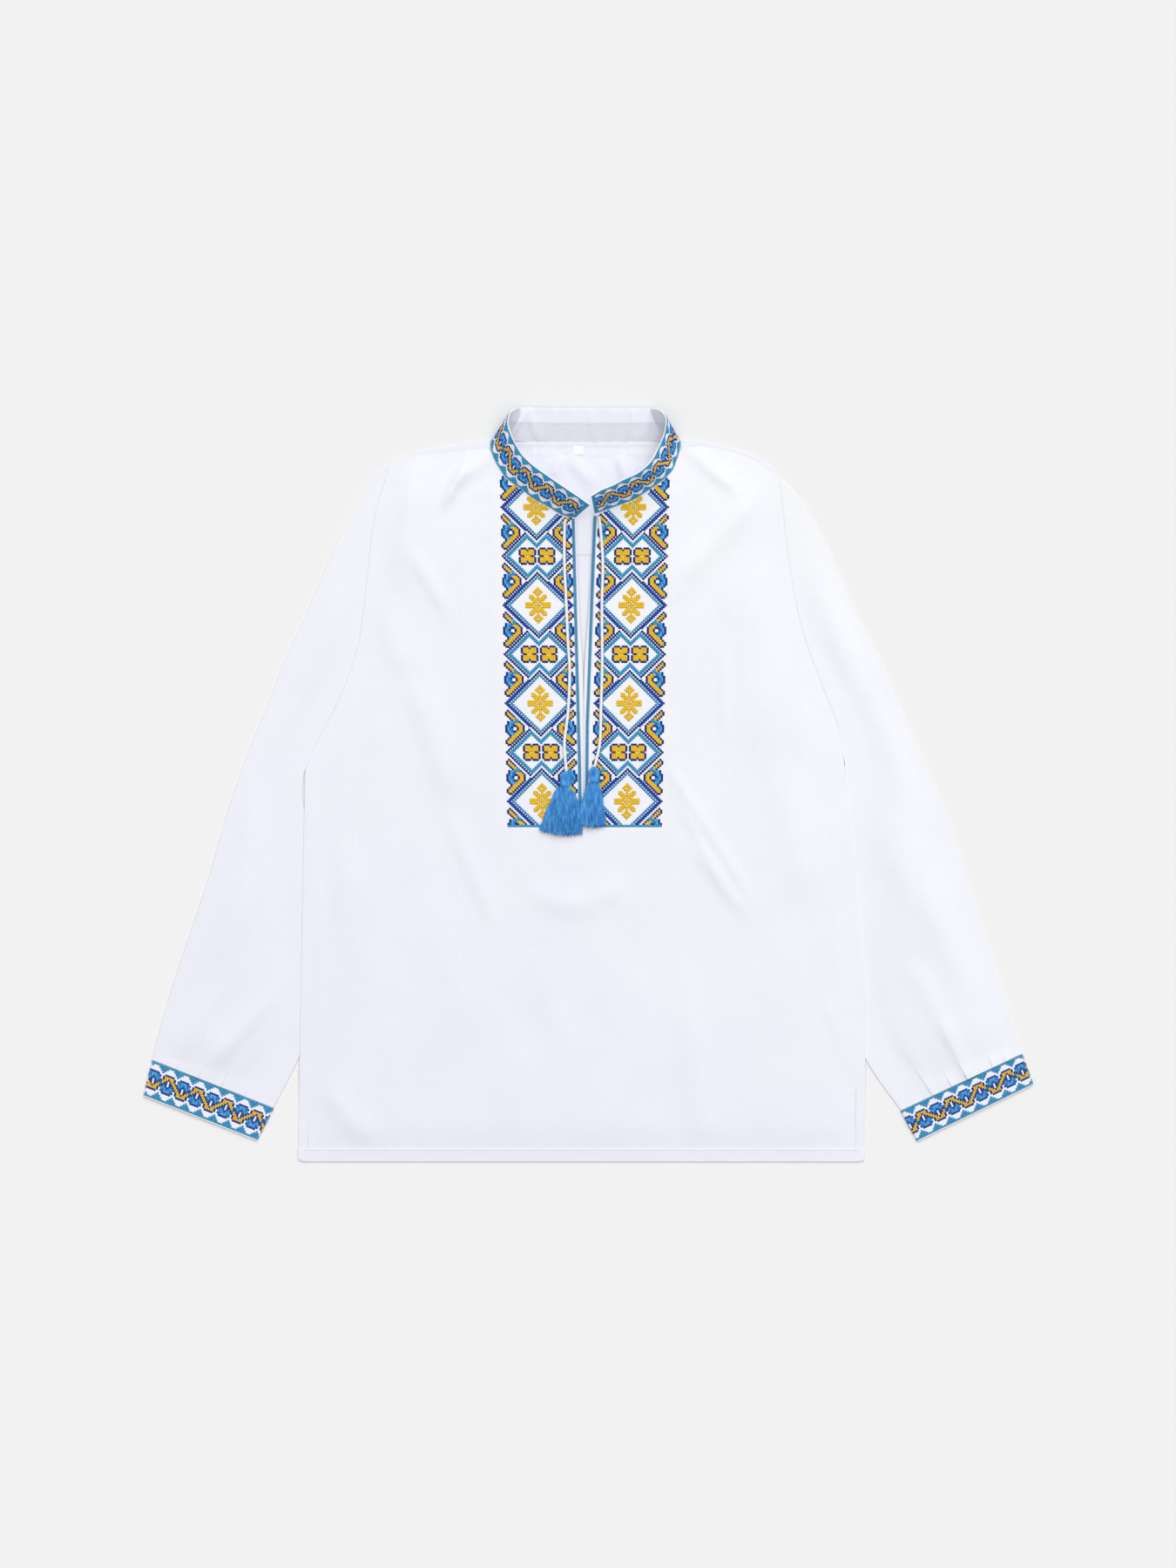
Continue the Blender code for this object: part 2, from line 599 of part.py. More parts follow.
def make_flat_piece(name, corners, low, thickness, look):
    """A small straight piece with its four corners cut a little, lying at one height."""
    cut = 0.8
    left, top, right, bottom = corners
    outline = [
        (left + cut, bottom), (right - cut, bottom), (right, bottom + cut), (right, top - cut),
        (right - cut, top), (left + cut, top), (left, top - cut), (left, bottom + cut),
    ]
    points = [(x, y, low + thickness) for x, y in outline]
    return cloth_object(name, points, [list(range(len(points)))], look, thickness)


def on_front(x, y):
    """Height of a cord's centre where it lies on the embroidered front."""
    return front_height(x, y) + STITCH_ALLOWANCE + CORD_RADIUS


def make_cord(name, route, look):
    """A cord along a smooth curve through its route's spots."""
    data = bpy.data.curves.new(name, "CURVE")
    data.dimensions = "3D"
    data.bevel_depth = CORD_RADIUS * MM
    data.bevel_resolution = 2
    data.use_fill_caps = True
    line = data.splines.new("POLY")
    line.points.add(CORD_POINTS - 1)
    for number in range(CORD_POINTS):
        spot = along(route, (len(route) - 1) * number / (CORD_POINTS - 1))
        line.points[number].co = (spot.x * MM, spot.y * MM, on_front(spot.x, spot.y) * MM, 1.0)
    data.materials.append(look)
    made = bpy.data.objects.new(name, data)
    bpy.context.collection.objects.link(made)
    return made


def make_tassel(tassel, look):
    """A wrapped head with its strands drawn out of its lower face."""
    run_x = tassel.foot_x - tassel.head_x
    run_y = tassel.foot_y - tassel.head_y
    length = math.hypot(run_x, run_y)
    down = (run_x / length, run_y / length)
    aside = (down[1], -down[0])
    floor = front_height(tassel.head_x, tassel.head_y) + STITCH_ALLOWANCE

    def place(along_by, aside_by, height):
        x = tassel.head_x + down[0] * along_by + aside[0] * aside_by
        y = tassel.head_y + down[1] * along_by + aside[1] * aside_by
        return (x * MM, y * MM, height * MM)

    build = bmesh.new()
    rim = [(column, 0) for column in range(TASSEL_COLUMNS)]
    rim += [(TASSEL_COLUMNS, layer) for layer in range(TASSEL_LAYERS)]
    rim += [(column, TASSEL_LAYERS) for column in range(TASSEL_COLUMNS, 0, -1)]
    rim += [(0, layer) for layer in range(TASSEL_LAYERS, 0, -1)]
    rings = []
    for station, size in ((0.5, 0.55), (2.5, 0.92), (7.0, 1.0), (11.0, 0.8), (tassel.head_length, 0.95)):
        ring = {}
        cells = rim if station < tassel.head_length else None
        if cells is None:
            cells = [(c, k) for c in range(TASSEL_COLUMNS + 1) for k in range(TASSEL_LAYERS + 1)]
        for column, layer in cells:
            across = 2.0 * column / TASSEL_COLUMNS - 1.0
            up = 2.0 * layer / TASSEL_LAYERS - 1.0
            pinch = 1.0 - 0.2 * (across * up) ** 2
            height = floor + 0.5 * TASSEL_HEAD_HEIGHT * (1.0 + up * size * pinch * (1.0 - 0.25 * across**2))
            ring[column, layer] = build.verts.new(
                place(station, across * tassel.head_half * size * pinch, height)
            )
        rings.append(ring)
    for ring, after in zip(rings, rings[1:]):
        for near, far in zip(rim, rim[1:] + rim[:1]):
            build.faces.new([ring[near], ring[far], after[far], after[near]])
    build.faces.new([rings[0][cell] for cell in reversed(rim)])
    cells = {}
    for column in range(TASSEL_COLUMNS):
        for layer in range(TASSEL_LAYERS):
            corner = [(column, layer), (column + 1, layer), (column + 1, layer + 1), (column, layer + 1)]
            cells[build.faces.new([rings[-1][spot] for spot in corner])] = (column, layer)
    bmesh.ops.recalc_face_normals(build, faces=build.faces)
    bmesh.ops.inset_individual(build, faces=list(cells), thickness=STRAND_INSET * MM)
    skirt = length - tassel.head_length
    for face, (column, layer) in cells.items():
        across = (2.0 * column + 1.0) / TASSEL_COLUMNS - 1.0
        reach = skirt * (1.0 - 0.05 * across**2 - 0.03 * ((column * 7 + layer * 5) % 4))
        centre = face.calc_center_median()
        offsets = [vert.co - centre for vert in face.verts]
        for step in range(1, STRAND_STEPS + 1):
            share = step / STRAND_STEPS
            spread = lerp(tassel.head_half * 0.95, tassel.foot_half, share**0.8)
            x, y, _ = place(tassel.head_length + reach * share, 0.92 * across * spread, 0.0)
            lying = front_height(x / MM, y / MM) + STITCH_ALLOWANCE + 0.9 + layer * 1.7
            height = lerp(centre.z / MM, lying, smooth(share * 1.6)) * MM
            built = bmesh.ops.extrude_discrete_faces(build, faces=[face])
            face = built["faces"][0]
            swell = lerp(1.0, 1.35, smooth(share * 2.0)) if step < STRAND_STEPS else 1.0
            for vert, offset in zip(face.verts, offsets):
                vert.co.x = x + offset.x * swell
                vert.co.y = y + offset.y * swell
                vert.co.z = height + offset.z * 0.8
    mesh = bpy.data.meshes.new("tassel_" + tassel.side)
    build.to_mesh(mesh)
    build.free()
    mesh.materials.append(look)
    made = bpy.data.objects.new("tassel_" + tassel.side, mesh)
    bpy.context.collection.objects.link(made)
    return made


def main():
    clear_scene()
    cotton = (0.86, 0.87, 0.93)
    make_front(material("front_cotton", cotton, 0.8))
    make_back(material("back_cotton", cotton, 0.8))
    make_sleeve(
        "sleeve_left", SLEEVE_LEFT, LEFT_EDGE, SLEEVE_COLUMNS_LEFT, LEFT_SLEEVE_FOLDS, [],
        material("sleeve_left_cotton", cotton, 0.8),
    )
    make_sleeve(
        "sleeve_right", SLEEVE_RIGHT, RIGHT_EDGE, SLEEVE_COLUMNS_RIGHT, RIGHT_SLEEVE_FOLDS, RIGHT_SLEEVE_PLEATS,
        material("sleeve_right_cotton", cotton, 0.8),
    )
    stitched = (0.12, 0.3, 0.55)
    make_cuff("cuff_left", CUFF_LEFT, material("cuff_left_stitched", stitched, 0.65))
    make_cuff("cuff_right", CUFF_RIGHT, material("cuff_right_stitched", stitched, 0.65))
    make_collar(material("collar_stitched", stitched, 0.65))
    inside = WALL + SEAM
    make_flat_piece("neck_tape", TAPE, inside, 1.0, material("tape_cotton", (0.88, 0.89, 0.94), 0.75))
    tab_low = inside + 1.0 + SEAM
    make_flat_piece("size_tab", SIZE_TAB, tab_low, 1.0, material("tab_satin", (0.9, 0.9, 0.9), 0.5))
    make_flat_piece("slit_underlap", UNDERLAP, inside, 1.0, material("underlap_cotton", cotton, 0.8))
    for name, route in (("cord_left", CORD_LEFT), ("cord_right", CORD_RIGHT)):
        make_cord(name, route, material(name + "_cotton", (0.85, 0.86, 0.9), 0.75))
    for tassel in TASSELS:
        make_tassel(tassel, material("tassel_" + tassel.side + "_yarn", (0.06, 0.24, 0.6), 0.7))


main()
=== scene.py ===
"""Embroidered folk shirt laid flat on its back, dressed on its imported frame.

Sizes inside are in millimetres in the shirt's own frame: X across, Y from hem to collar, Z up from the
surface that it lies on. Points are turned to metres when a mesh is made.
"""
import math
from collections import namedtuple

import bpy
import numpy as np
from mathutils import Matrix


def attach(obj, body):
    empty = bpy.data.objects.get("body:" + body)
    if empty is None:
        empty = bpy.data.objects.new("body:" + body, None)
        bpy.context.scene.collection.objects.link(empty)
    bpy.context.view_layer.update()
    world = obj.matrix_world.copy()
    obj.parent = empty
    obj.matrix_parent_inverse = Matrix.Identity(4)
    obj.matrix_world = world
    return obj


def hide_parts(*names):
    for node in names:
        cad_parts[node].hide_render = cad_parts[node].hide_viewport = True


bl_info = {
    "name": "Embroidered Folk Shirt",
    "version": (1, 0, 0),
    "blender": (4, 5, 0),
    "location": "3D View > Sidebar > Folk Shirt",
    "description": "Cloth, cross stitch, cords and tassels of a folk shirt laid flat",
    "category": "Object",
}

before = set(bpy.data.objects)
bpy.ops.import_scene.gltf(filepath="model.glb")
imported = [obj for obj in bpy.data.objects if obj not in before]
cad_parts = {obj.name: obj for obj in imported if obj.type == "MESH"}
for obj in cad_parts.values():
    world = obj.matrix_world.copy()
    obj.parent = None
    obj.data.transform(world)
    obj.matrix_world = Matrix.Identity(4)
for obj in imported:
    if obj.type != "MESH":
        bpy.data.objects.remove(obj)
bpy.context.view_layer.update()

MM = 0.001

# Cloth
SEAM = 0.15
CENTRE_X = -4.2
LEVEL_Y = 219.7
SLIT_END_Y = -39.1
HEM_Y = -362.5
BACK_HEM_DROP = 1.2
LOFT = 2.6
LOFT_REACH = 42.0
HEM_DEPTH = 12.0
HEM_RISE = 0.3
VENT_TOPS = {"left": -325.0, "right": -290.0}
SLEEVE_SLOPE = 15.0
FOLD_STEPS = 8
TOP_ROWS = 26
GRID = 4.0

# Sleeves, cuffs and collar
SLEEVE_ROWS_PER_SECTION = 9
SLEEVE_PUFF = 4.4
PUFF_REACH = 45.0
PUFF_START = 22.0
UNDERARM_SECTION = 7
CUFF_FLOOR = 0.62
CUFF_THICKNESS = 1.7
COLLAR_HEIGHT = 33.0
COLLAR_BACK_TOP = 2.6
COLLAR_BACK_LIFT = 0.75
COLLAR_TURNING_SHARE = 0.55
NECK_MIDDLE = (-4.0, 310.0)

# Cross stitch
STITCH_LENGTH = 1.4
STITCH_FULLNESS = 0.15
STITCH_LAP = 0.08
STRIP_COLUMNS = 18
STRIP_COLUMN_PITCH = 1.84
STRIP_ROW_PITCH = 1.817
STAR_Y = 173.5
STRIP_FIRST_ROW = -75
REPEAT_ROWS = 52
HALF_REPEAT = REPEAT_ROWS // 2
BORDER_ROWS = 18
TRIANGLE_ROWS = 4
BORDER_PITCH = 1.87
COLLAR_BORDER_PITCH = 1.66
CUFF_BORDER_START = 0.004
CUFF_BORDER_HEIGHT = 0.965
CUFF_BORDER_SHIFT = 3
CUFF_STITCH_SHARE = 0.88
COLLAR_BORDER_TOP = 0.972
COLLAR_BORDER_HEIGHT = 0.95
STITCH_ALLOWANCE = 0.7

# Satin stitches beside the slit: width, length and height. Machine stitches: length, width and height.
SLIT_STITCH_PITCH = 1.45
SLIT_STITCH = (3.4, 1.5, 0.5)
SEWING_PITCH = 2.9
SEWING_STITCH = (2.1, 0.5, 0.32)

# Cords and tassels
CORD_IN_HEAD = 8.0
CORD_STEP = 0.9
TASSEL_HEAD_HEIGHT = 6.2
TASSEL_NECK_HALF = 3.3
TASSEL_DEPTH = 4.6
BINDING_RINGS = 3
BINDING_PITCH = 0.85
GOLDEN_STEP = 0.61803

# View and light, in metres
CAMERA_PLACE = (0.0, 0.00126, 4.0)
CAMERA_LENS = 95.24
ROOM_LIGHT = 0.327
SUNS = (("key_light", (0.55, 2.08, 2.7), 64.0, 1.96), ("overhead_light", (0.0, 0.1, 3.0), 90.0, 0.92))

Spot = namedtuple("Spot", "x y")
Section = namedtuple("Section", "outer_x outer_y inner_x inner_y")
Fold = namedtuple("Fold", "x1 y1 x2 y2 height half_width lean")
Pleat = namedtuple("Pleat", "across length height width")
Band = namedtuple("Band", "base_x base_y top_x top_y")
Tassel = namedtuple("Tassel", "side head_x head_y foot_x foot_y head_half foot_half head_length bow")

FRONT_TOP_LEFT = [
    [Spot(-192.4, 309.8), Spot(-176.4, 315.5), Spot(-148.7, 319.5), Spot(-94.6, 325.0)],
    [
        Spot(-94.6, 325.0), Spot(-91.8, 317.0), Spot(-86.5, 307.0), Spot(-78.1, 295.3), Spot(-65.5, 286.0),
        Spot(-52.1, 275.9), Spot(-38.6, 268.4), Spot(-25.2, 260.6), Spot(-11.8, 257.9),
    ],
]
FRONT_TOP_RIGHT = [
    [
        Spot(6.5, 261.5), Spot(19.3, 265.9), Spot(32.8, 270.9), Spot(45.4, 275.9), Spot(57.1, 283.5),
        Spot(71.4, 293.6), Spot(79.8, 302.8), Spot(85.7, 313.7), Spot(89.6, 326.0),
    ],
    [Spot(89.6, 326.0), Spot(119.3, 325.6), Spot(152.0, 316.3), Spot(183.1, 298.6)],
]
BACK_TOP_LEFT = [
    [
        Spot(-192.4, 310.4), Spot(-176.4, 317.9), Spot(-148.7, 324.7), Spot(-121.8, 329.0),
        Spot(-94.6, 332.8),
    ],
    [Spot(-94.6, 332.8), Spot(-91.8, 329.6)],
    [Spot(-91.8, 329.6), Spot(-60.0, 329.3), Spot(-4.2, 329.3)],
]
BACK_TOP_RIGHT = [
    [Spot(-4.2, 329.3), Spot(60.0, 329.3), Spot(86.0, 329.6)],
    [Spot(86.0, 329.6), Spot(89.6, 332.8)],
    [
        Spot(89.6, 332.8), Spot(119.3, 329.7), Spot(152.0, 320.5), Spot(175.6, 307.0),
        Spot(183.1, 299.5),
    ],
]
LEFT_EDGE = [
    [
        Spot(-192.4, 310.4), Spot(-194.9, 296.9), Spot(-206.6, 253.3), Spot(-215.9, 171.8),
        Spot(-224.3, 124.7), Spot(-241.9, 78.5), Spot(-264.5, 34.5), Spot(-272.6, 13.9),
    ],
    [Spot(-272.6, 13.9), Spot(-275.5, -138.2), Spot(-278.0, -271.7), Spot(-279.7, -370.0)],
]
RIGHT_EDGE = [
    [
        Spot(183.1, 299.5), Spot(187.3, 270.1), Spot(193.2, 219.7), Spot(205.8, 152.5),
        Spot(225.0, 97.9), Spot(239.4, 60.5), Spot(246.1, 26.5), Spot(252.0, -23.9),
    ],
    [
        Spot(252.0, -23.9), Spot(259.6, -107.9), Spot(264.6, -166.7), Spot(267.1, -205.0),
        Spot(267.1, -370.0),
    ],
]
SLIT_LEFT = [[Spot(-11.3, 262.0), Spot(-10.6, 219.7), Spot(-7.6, 150.0), Spot(-4.6, 93.7), Spot(-4.5, -39.1)]]
SLIT_RIGHT = [[Spot(6.0, 262.0), Spot(4.2, 219.7), Spot(-0.4, 150.0), Spot(-3.8, 93.7), Spot(-3.9, -39.1)]]

SHOULDER_END_LEFT = 0.4585
SHOULDER_END_RIGHT = 0.4705
BACK_NECK_X = (-91.8, 86.0)

SLEEVE_LEFT = [
    Section(-195.7, 307.0, -193.4, 307.0), Section(-208.3, 294.4, -195.6, 295.6),
    Section(-233.5, 250.7, -207.5, 251.6), Section(-249.5, 218.0, -211.2, 219.7),
    Section(-272.2, 163.4, -217.2, 169.3), Section(-289.8, 125.6, -224.8, 124.7),
    Section(-310.8, 72.7, -244.6, 74.0), Section(-332.6, 18.1, -273.8, 11.0),
    Section(-350.3, -34.9, -270.5, -44.9), Section(-365.4, -87.8, -265.4, -103.7),
    Section(-388.1, -155.8, -262.1, -175.1), Section(-403.2, -201.2, -267.1, -227.2),
    Section(-414.0, -239.0, -278.5, -262.5), Section(-419.9, -264.5, -303.0, -310.8),
]
SLEEVE_RIGHT = [
    Section(188.2, 293.6, 185.4, 293.6), Section(197.4, 283.5, 186.6, 281.8),
    Section(215.9, 257.5, 189.8, 254.9), Section(236.9, 215.5, 194.2, 215.5),
    Section(256.2, 170.1, 203.0, 169.3), Section(279.7, 123.1, 217.0, 121.4),
    Section(301.6, 72.7, 235.0, 74.3), Section(325.9, 18.1, 247.4, 20.5),
    Section(347.8, -34.9, 241.9, -44.9), Section(362.9, -82.7, 241.1, -103.7),
    Section(378.0, -133.1, 244.4, -158.3), Section(390.6, -168.4, 251.2, -208.7),
    Section(405.7, -218.8, 265.9, -260.8), Section(418.2, -258.7, 301.5, -313.3),
]
CUFF_LEFT = [Section(-420.0, -265.0, -303.2, -311.2), Section(-428.4, -299.5, -319.2, -342.3)]
CUFF_RIGHT = [Section(418.3, -259.1, 301.6, -313.7), Section(429.2, -288.5, 317.5, -343.1)]

# Folds and creases of the front. Lean is how steep the side on their right is.
FRONT_FOLDS = [
    Fold(-110.0, 325.0, -137.0, 274.0, 5.0, 6.0, 0.8),
    Fold(-90.0, 322.0, -126.0, 294.0, 4.4, 8.0, 0.7),
    Fold(-155.4, 308.7, -189.0, 293.6, 1.1, 8.0, 0.6),
    Fold(-90.7, 289.4, -110.9, 281.0, 0.9, 5.0, 0.6),
    Fold(-170.0, 306.0, -182.0, 205.0, 3.6, 15.0, 1.0),
    Fold(-204.0, 174.0, -176.0, 112.0, 2.2, 15.0, 0.9),
    Fold(-169.0, 224.0, -138.0, 170.0, 2.0, 9.0, 0.8),
    Fold(-163.0, 92.0, -134.0, -4.0, 2.8, 17.0, 0.8),
    Fold(-131.0, -34.0, -92.0, -128.0, 1.8, 10.0, 0.9),
    Fold(-50.0, -104.0, -12.0, -118.0, 1.9, 13.0, 1.0),
    Fold(-12.0, -118.0, 30.0, -98.0, 1.9, 13.0, 1.0),
    Fold(90.7, 328.9, 138.6, 286.9, 3.6, 10.0, 0.6),
    Fold(78.0, 189.0, 163.0, 278.0, 2.9, 16.0, 0.8),
    Fold(79.0, 174.3, 93.2, 189.4, 0.9, 4.0, 0.6),
    Fold(158.0, 196.0, 172.0, 34.0, 3.0, 24.0, 1.1),
    Fold(129.0, 128.0, 133.0, 44.0, 1.0, 5.0, 1.0),
    Fold(192.0, 4.0, 208.0, -104.0, 2.6, 19.0, 1.0),
    Fold(82.0, 10.0, 152.0, -102.0, 2.0, 7.0, 0.7),
    Fold(90.0, -20.0, 132.0, -100.0, 1.5, 6.0, 0.8),
    Fold(104.0, -62.0, 150.0, -122.0, 1.6, 9.0, 0.8),
    Fold(96.0, -196.0, 110.0, -352.0, 2.2, 15.0, 1.0),
    Fold(-253.7, -292.0, -208.5, -345.0, 2.2, 14.0, 0.9),
    Fold(-60.0, -250.0, -84.0, -335.0, 1.2, 18.0, 1.0),
    Fold(-46.0, -172.0, -28.0, -244.0, 1.2, 14.0, 1.0),
    Fold(232.0, -210.0, 256.0, -275.0, 1.7, 9.0, 0.7),
    Fold(197.0, -150.0, 186.0, -300.0, 1.4, 20.0, 1.0),
    Fold(-232.0, -60.0, -214.0, -190.0, 1.5, 20.0, 1.0),
    Fold(20.0, -170.0, 60.0, -280.0, 1.2, 24.0, 1.0),
    Fold(-150.0, -120.0, -118.0, -230.0, 1.3, 24.0, 1.0),
    Fold(-196.0, 60.0, -214.0, -40.0, 1.4, 16.0, 1.0),
]
LEFT_SLEEVE_FOLDS = [
    Fold(-366.0, -270.0, -292.0, -196.0, 2.1, 11.0, 0.8),
    Fold(-338.0, -282.0, -300.0, -226.0, 1.4, 8.0, 0.8),
    Fold(-396.0, -262.0, -358.0, -200.0, 1.6, 10.0, 0.8),
    Fold(-316.0, -292.0, -288.0, -250.0, 1.6, 6.0, 0.8),
    Fold(-300.0, 60.0, -340.0, -80.0, 2.2, 18.0, 0.9),
    Fold(-330.0, -90.0, -352.0, -190.0, 1.8, 16.0, 0.9),
    Fold(-245.0, 190.0, -262.0, 90.0, 1.6, 14.0, 0.9),
    Fold(-208.3, 290.0, -196.0, 304.0, 0.8, 4.0, 0.6),
]
RIGHT_SLEEVE_FOLDS = [
    Fold(262.0, -22.0, 378.0, -190.0, 3.2, 27.0, 0.8),
    Fold(266.3, -205.5, 322.4, -280.5, 3.0, 10.0, 0.7),
    Fold(341.9, -232.3, 368.4, -283.5, 2.4, 9.0, 0.7),
    Fold(252.0, -150.0, 300.0, -232.0, 1.8, 12.0, 0.8),
    Fold(316.0, -180.0, 346.0, -240.0, 1.6, 11.0, 0.9),
    Fold(228.0, 190.0, 262.0, 70.0, 1.6, 15.0, 0.9),
    Fold(276.0, 84.0, 318.0, -20.0, 1.5, 16.0, 0.9),
    Fold(184.0, 275.1, 200.8, 280.1, 0.8, 4.0, 0.6),
    Fold(286.0, -281.0, 330.0, -290.0, 1.5, 6.0, 0.8),
    Fold(274.0, -262.0, 300.0, -274.0, 1.4, 6.0, 0.8),
]
RIGHT_SLEEVE_PLEATS = [
    Pleat(0.13, 14.0, 0.7, 7.0), Pleat(0.24, 20.0, 1.2, 8.0), Pleat(0.34, 13.0, 0.7, 6.0),
    Pleat(0.45, 22.0, 1.3, 8.0), Pleat(0.58, 18.0, 1.1, 8.0), Pleat(0.74, 34.0, 1.4, 10.0),
]
LEFT_SLEEVE_PLEATS = [
    Pleat(0.20, 20.0, 0.9, 8.0), Pleat(0.38, 26.0, 1.1, 9.0), Pleat(0.57, 22.0, 1.0, 8.0), Pleat(0.76, 16.0, 0.8, 7.0),
]
# Creases of the back where it shows inside the neck
NECK_FOLDS = [
    Fold(-27.3, 316.0, -35.3, 298.0, 3.4, 4.0, 0.6), Fold(-16.8, 314.0, 2.9, 292.0, 3.2, 6.0, 0.8),
    Fold(29.1, 315.0, 37.0, 292.0, 3.8, 5.0, 0.5), Fold(48.0, 306.0, 62.0, 288.0, 3.0, 7.0, 0.8),
    Fold(-66.0, 314.0, -48.0, 292.0, 3.0, 7.0, 0.8), Fold(-40.0, 282.0, -10.0, 268.0, 1.4, 9.0, 1.0),
    Fold(8.0, 284.0, 26.0, 274.0, 1.2, 7.0, 1.0), Fold(12.0, 314.0, 16.0, 300.0, 1.0, 4.0, 0.8),
]
# Creases pressed into the collar's back, by place along the collar: where, how far they lean, height, width
COLLAR_CREASES = [
    (9.6, 0.9, 2.4, 0.20), (10.3, 1.0, 2.0, 0.16), (10.9, 0.5, 1.2, 0.12), (11.4, -0.6, 1.5, 0.13),
    (11.9, 0.1, 0.8, 0.10), (12.5, 0.15, 0.7, 0.12), (13.1, -0.1, 0.8, 0.12), (13.7, 0.3, 0.6, 0.10),
    (14.3, 0.3, 0.9, 0.12), (14.8, 0.9, 1.3, 0.13), (15.3, 0.8, 1.8, 0.14), (15.9, 1.1, 2.0, 0.15),
    (16.4, 0.9, 2.2, 0.18),
]

COLLAR = [
    Band(-12.6, 257.9, 1.7, 268.4), Band(-25.2, 260.6, -10.9, 277.6), Band(-38.6, 268.4, -26.9, 288.5),
    Band(-52.1, 275.9, -39.5, 297.4), Band(-65.5, 286.0, -52.9, 307.0), Band(-78.1, 295.3, -63.0, 317.1),
    Band(-86.5, 307.0, -68.9, 326.3), Band(-91.6, 317.1, -73.5, 335.6), Band(-94.1, 328.0, -76.9, 346.5),
    Band(-90.7, 334.7, -75.6, 356.6), Band(-81.5, 334.3, -69.7, 362.5), Band(-69.7, 331.8, -59.6, 364.1),
    Band(-35.0, 330.3, -30.0, 363.9), Band(0.0, 330.1, 0.0, 363.7), Band(35.0, 330.3, 30.0, 363.7),
    Band(68.9, 331.8, 57.1, 363.3), Band(79.0, 334.3, 68.9, 360.4), Band(87.4, 333.9, 74.8, 353.2),
    Band(89.0, 327.2, 74.8, 344.8), Band(85.7, 314.6, 72.7, 335.6), Band(81.5, 303.7, 67.2, 323.0),
    Band(71.4, 293.6, 60.5, 310.4), Band(57.1, 283.5, 48.7, 299.5), Band(45.4, 275.9, 34.4, 292.7),
    Band(32.8, 270.9, 23.5, 286.9), Band(19.3, 265.9, 13.4, 282.7), Band(6.7, 261.7, 3.4, 276.8),
]
COLLAR_BACK = (9.0, 11.0, 15.0, 17.0)

TAPE = Section(-76.0, 331.0, 76.0, 317.8)
SIZE_TAB = Section(-14.6, 328.5, -4.4, 318.4)
UNDERLAP = Section(-17.0, 256.0, 9.5, 222.2)

CORD_LEFT = [
    Spot(-21.6, 256.4), Spot(-22.6, 246.0), Spot(-22.8, 214.6), Spot(-21.0, 176.0), Spot(-19.3, 137.3),
    Spot(-17.6, 108.8), Spot(-19.3, 70.1), Spot(-22.7, 41.6), Spot(-20.9, 14.4),
]
CORD_RIGHT = [
    Spot(10.4, 259.0), Spot(11.8, 249.0), Spot(14.3, 214.6), Spot(13.4, 176.0), Spot(13.6, 118.0),
    Spot(12.6, 79.4), Spot(11.4, 41.6), Spot(6.4, 18.4),
]
TASSELS = [
    Tassel("left", -20.9, 14.0, -26.6, -48.3, 5.6, 22.0, 15.0, -4.5),
    Tassel("right", 6.4, 18.0, 3.4, -40.7, 5.6, 14.2, 15.0, 1.0),
]

# Middle line of each embroidered strip, and the lines beside the slit
STRIP_AXES = {"left": ((-50.0, 261.7), (-43.4, -39.1)), "right": ((43.7, 261.7), (37.0, -39.1))}
SLIT_LINES = {
    "left": ((-14.4, 256.0), (-8.2, 20.0), (-7.4, -39.5)),
    "right": ((6.8, 259.0), (-0.6, 60.0), (-1.6, -39.5)),
}

# Cut of each cloth in the flat: width, length, how it is held, what it lies on, what is sewn to it
CUTS = {
    "shirt_front": (
        560.0, 700.0, "laid", ["shirt_back"],
        ["embroidered_strip_left", "embroidered_strip_right", "slit_line_left", "slit_line_right", "hem_stitches",
         "vent_stitches_left", "vent_stitches_right"],
    ),
    "shirt_back": (560.0, 720.0, "laid", [], []),
    "sleeve_cloth_left": (290.0, 640.0, "laid", [], []),
    "sleeve_cloth_right": (290.0, 640.0, "laid", [], []),
    "cuff_cloth_left": (256.0, 36.0, "folded", [], ["cuff_border_left"]),
    "cuff_cloth_right": (256.0, 34.0, "folded", [], ["cuff_border_right"]),
    "collar_cloth": (430.0, 34.0, "laid", ["shirt_front", "shirt_back"], ["collar_border"]),
    "neck_tape_cloth": (152.0, 13.0, "laid", ["shirt_back"], []),
    "size_tab_cloth": (10.4, 10.4, "laid", ["neck_tape_cloth"], []),
    "underlap_cloth": (26.5, 34.0, "laid", ["shirt_back"], []),
}

# Charts: a letter is a thread and a point is bare cloth
FLOWER = (".ddd.ddd.", "dyyydyyyd", "dyyyyyyyd", "dyyyyyyyd", ".ddy.ydd.")
STAR = (
    "......y......", ".....yyy.....", "....yy.yy....", ".....yyy.....", "..yy..y..yy..",
    "..yyy.y.yyy..", "...yyyyyyy...", "....yy.yy....", "yyyyy.y.yyyyy", "yyyy.yyy.yyyy",
)
HOOK_START = 4
HOOKS = (
    ".d", "dyd", "dyyd", ".dyyd", "..dyyt", "...dytt", ".dssbttd", ".dsbbyyyd", "dbsbddyyyd", "dsbd..dyyd",
    "dsbb..dyyd", "dbsbddyyyd", ".dssbyyyd", "..dsyyyd", "..dyyyd", ".dyyyd", "dyyyd", "dyyd", ".dd",
)
# Half of a bloom of the border from its middle outwards, with the wave passing below it
BLOOM = ("nnn..", "ssbn.", "bsbs.", "nbsbd", ".nbdy", ".ndyy", ".dyyd", "dyyd.", "yyyd.", "nnn..")
THREADS = "nbtsyd"


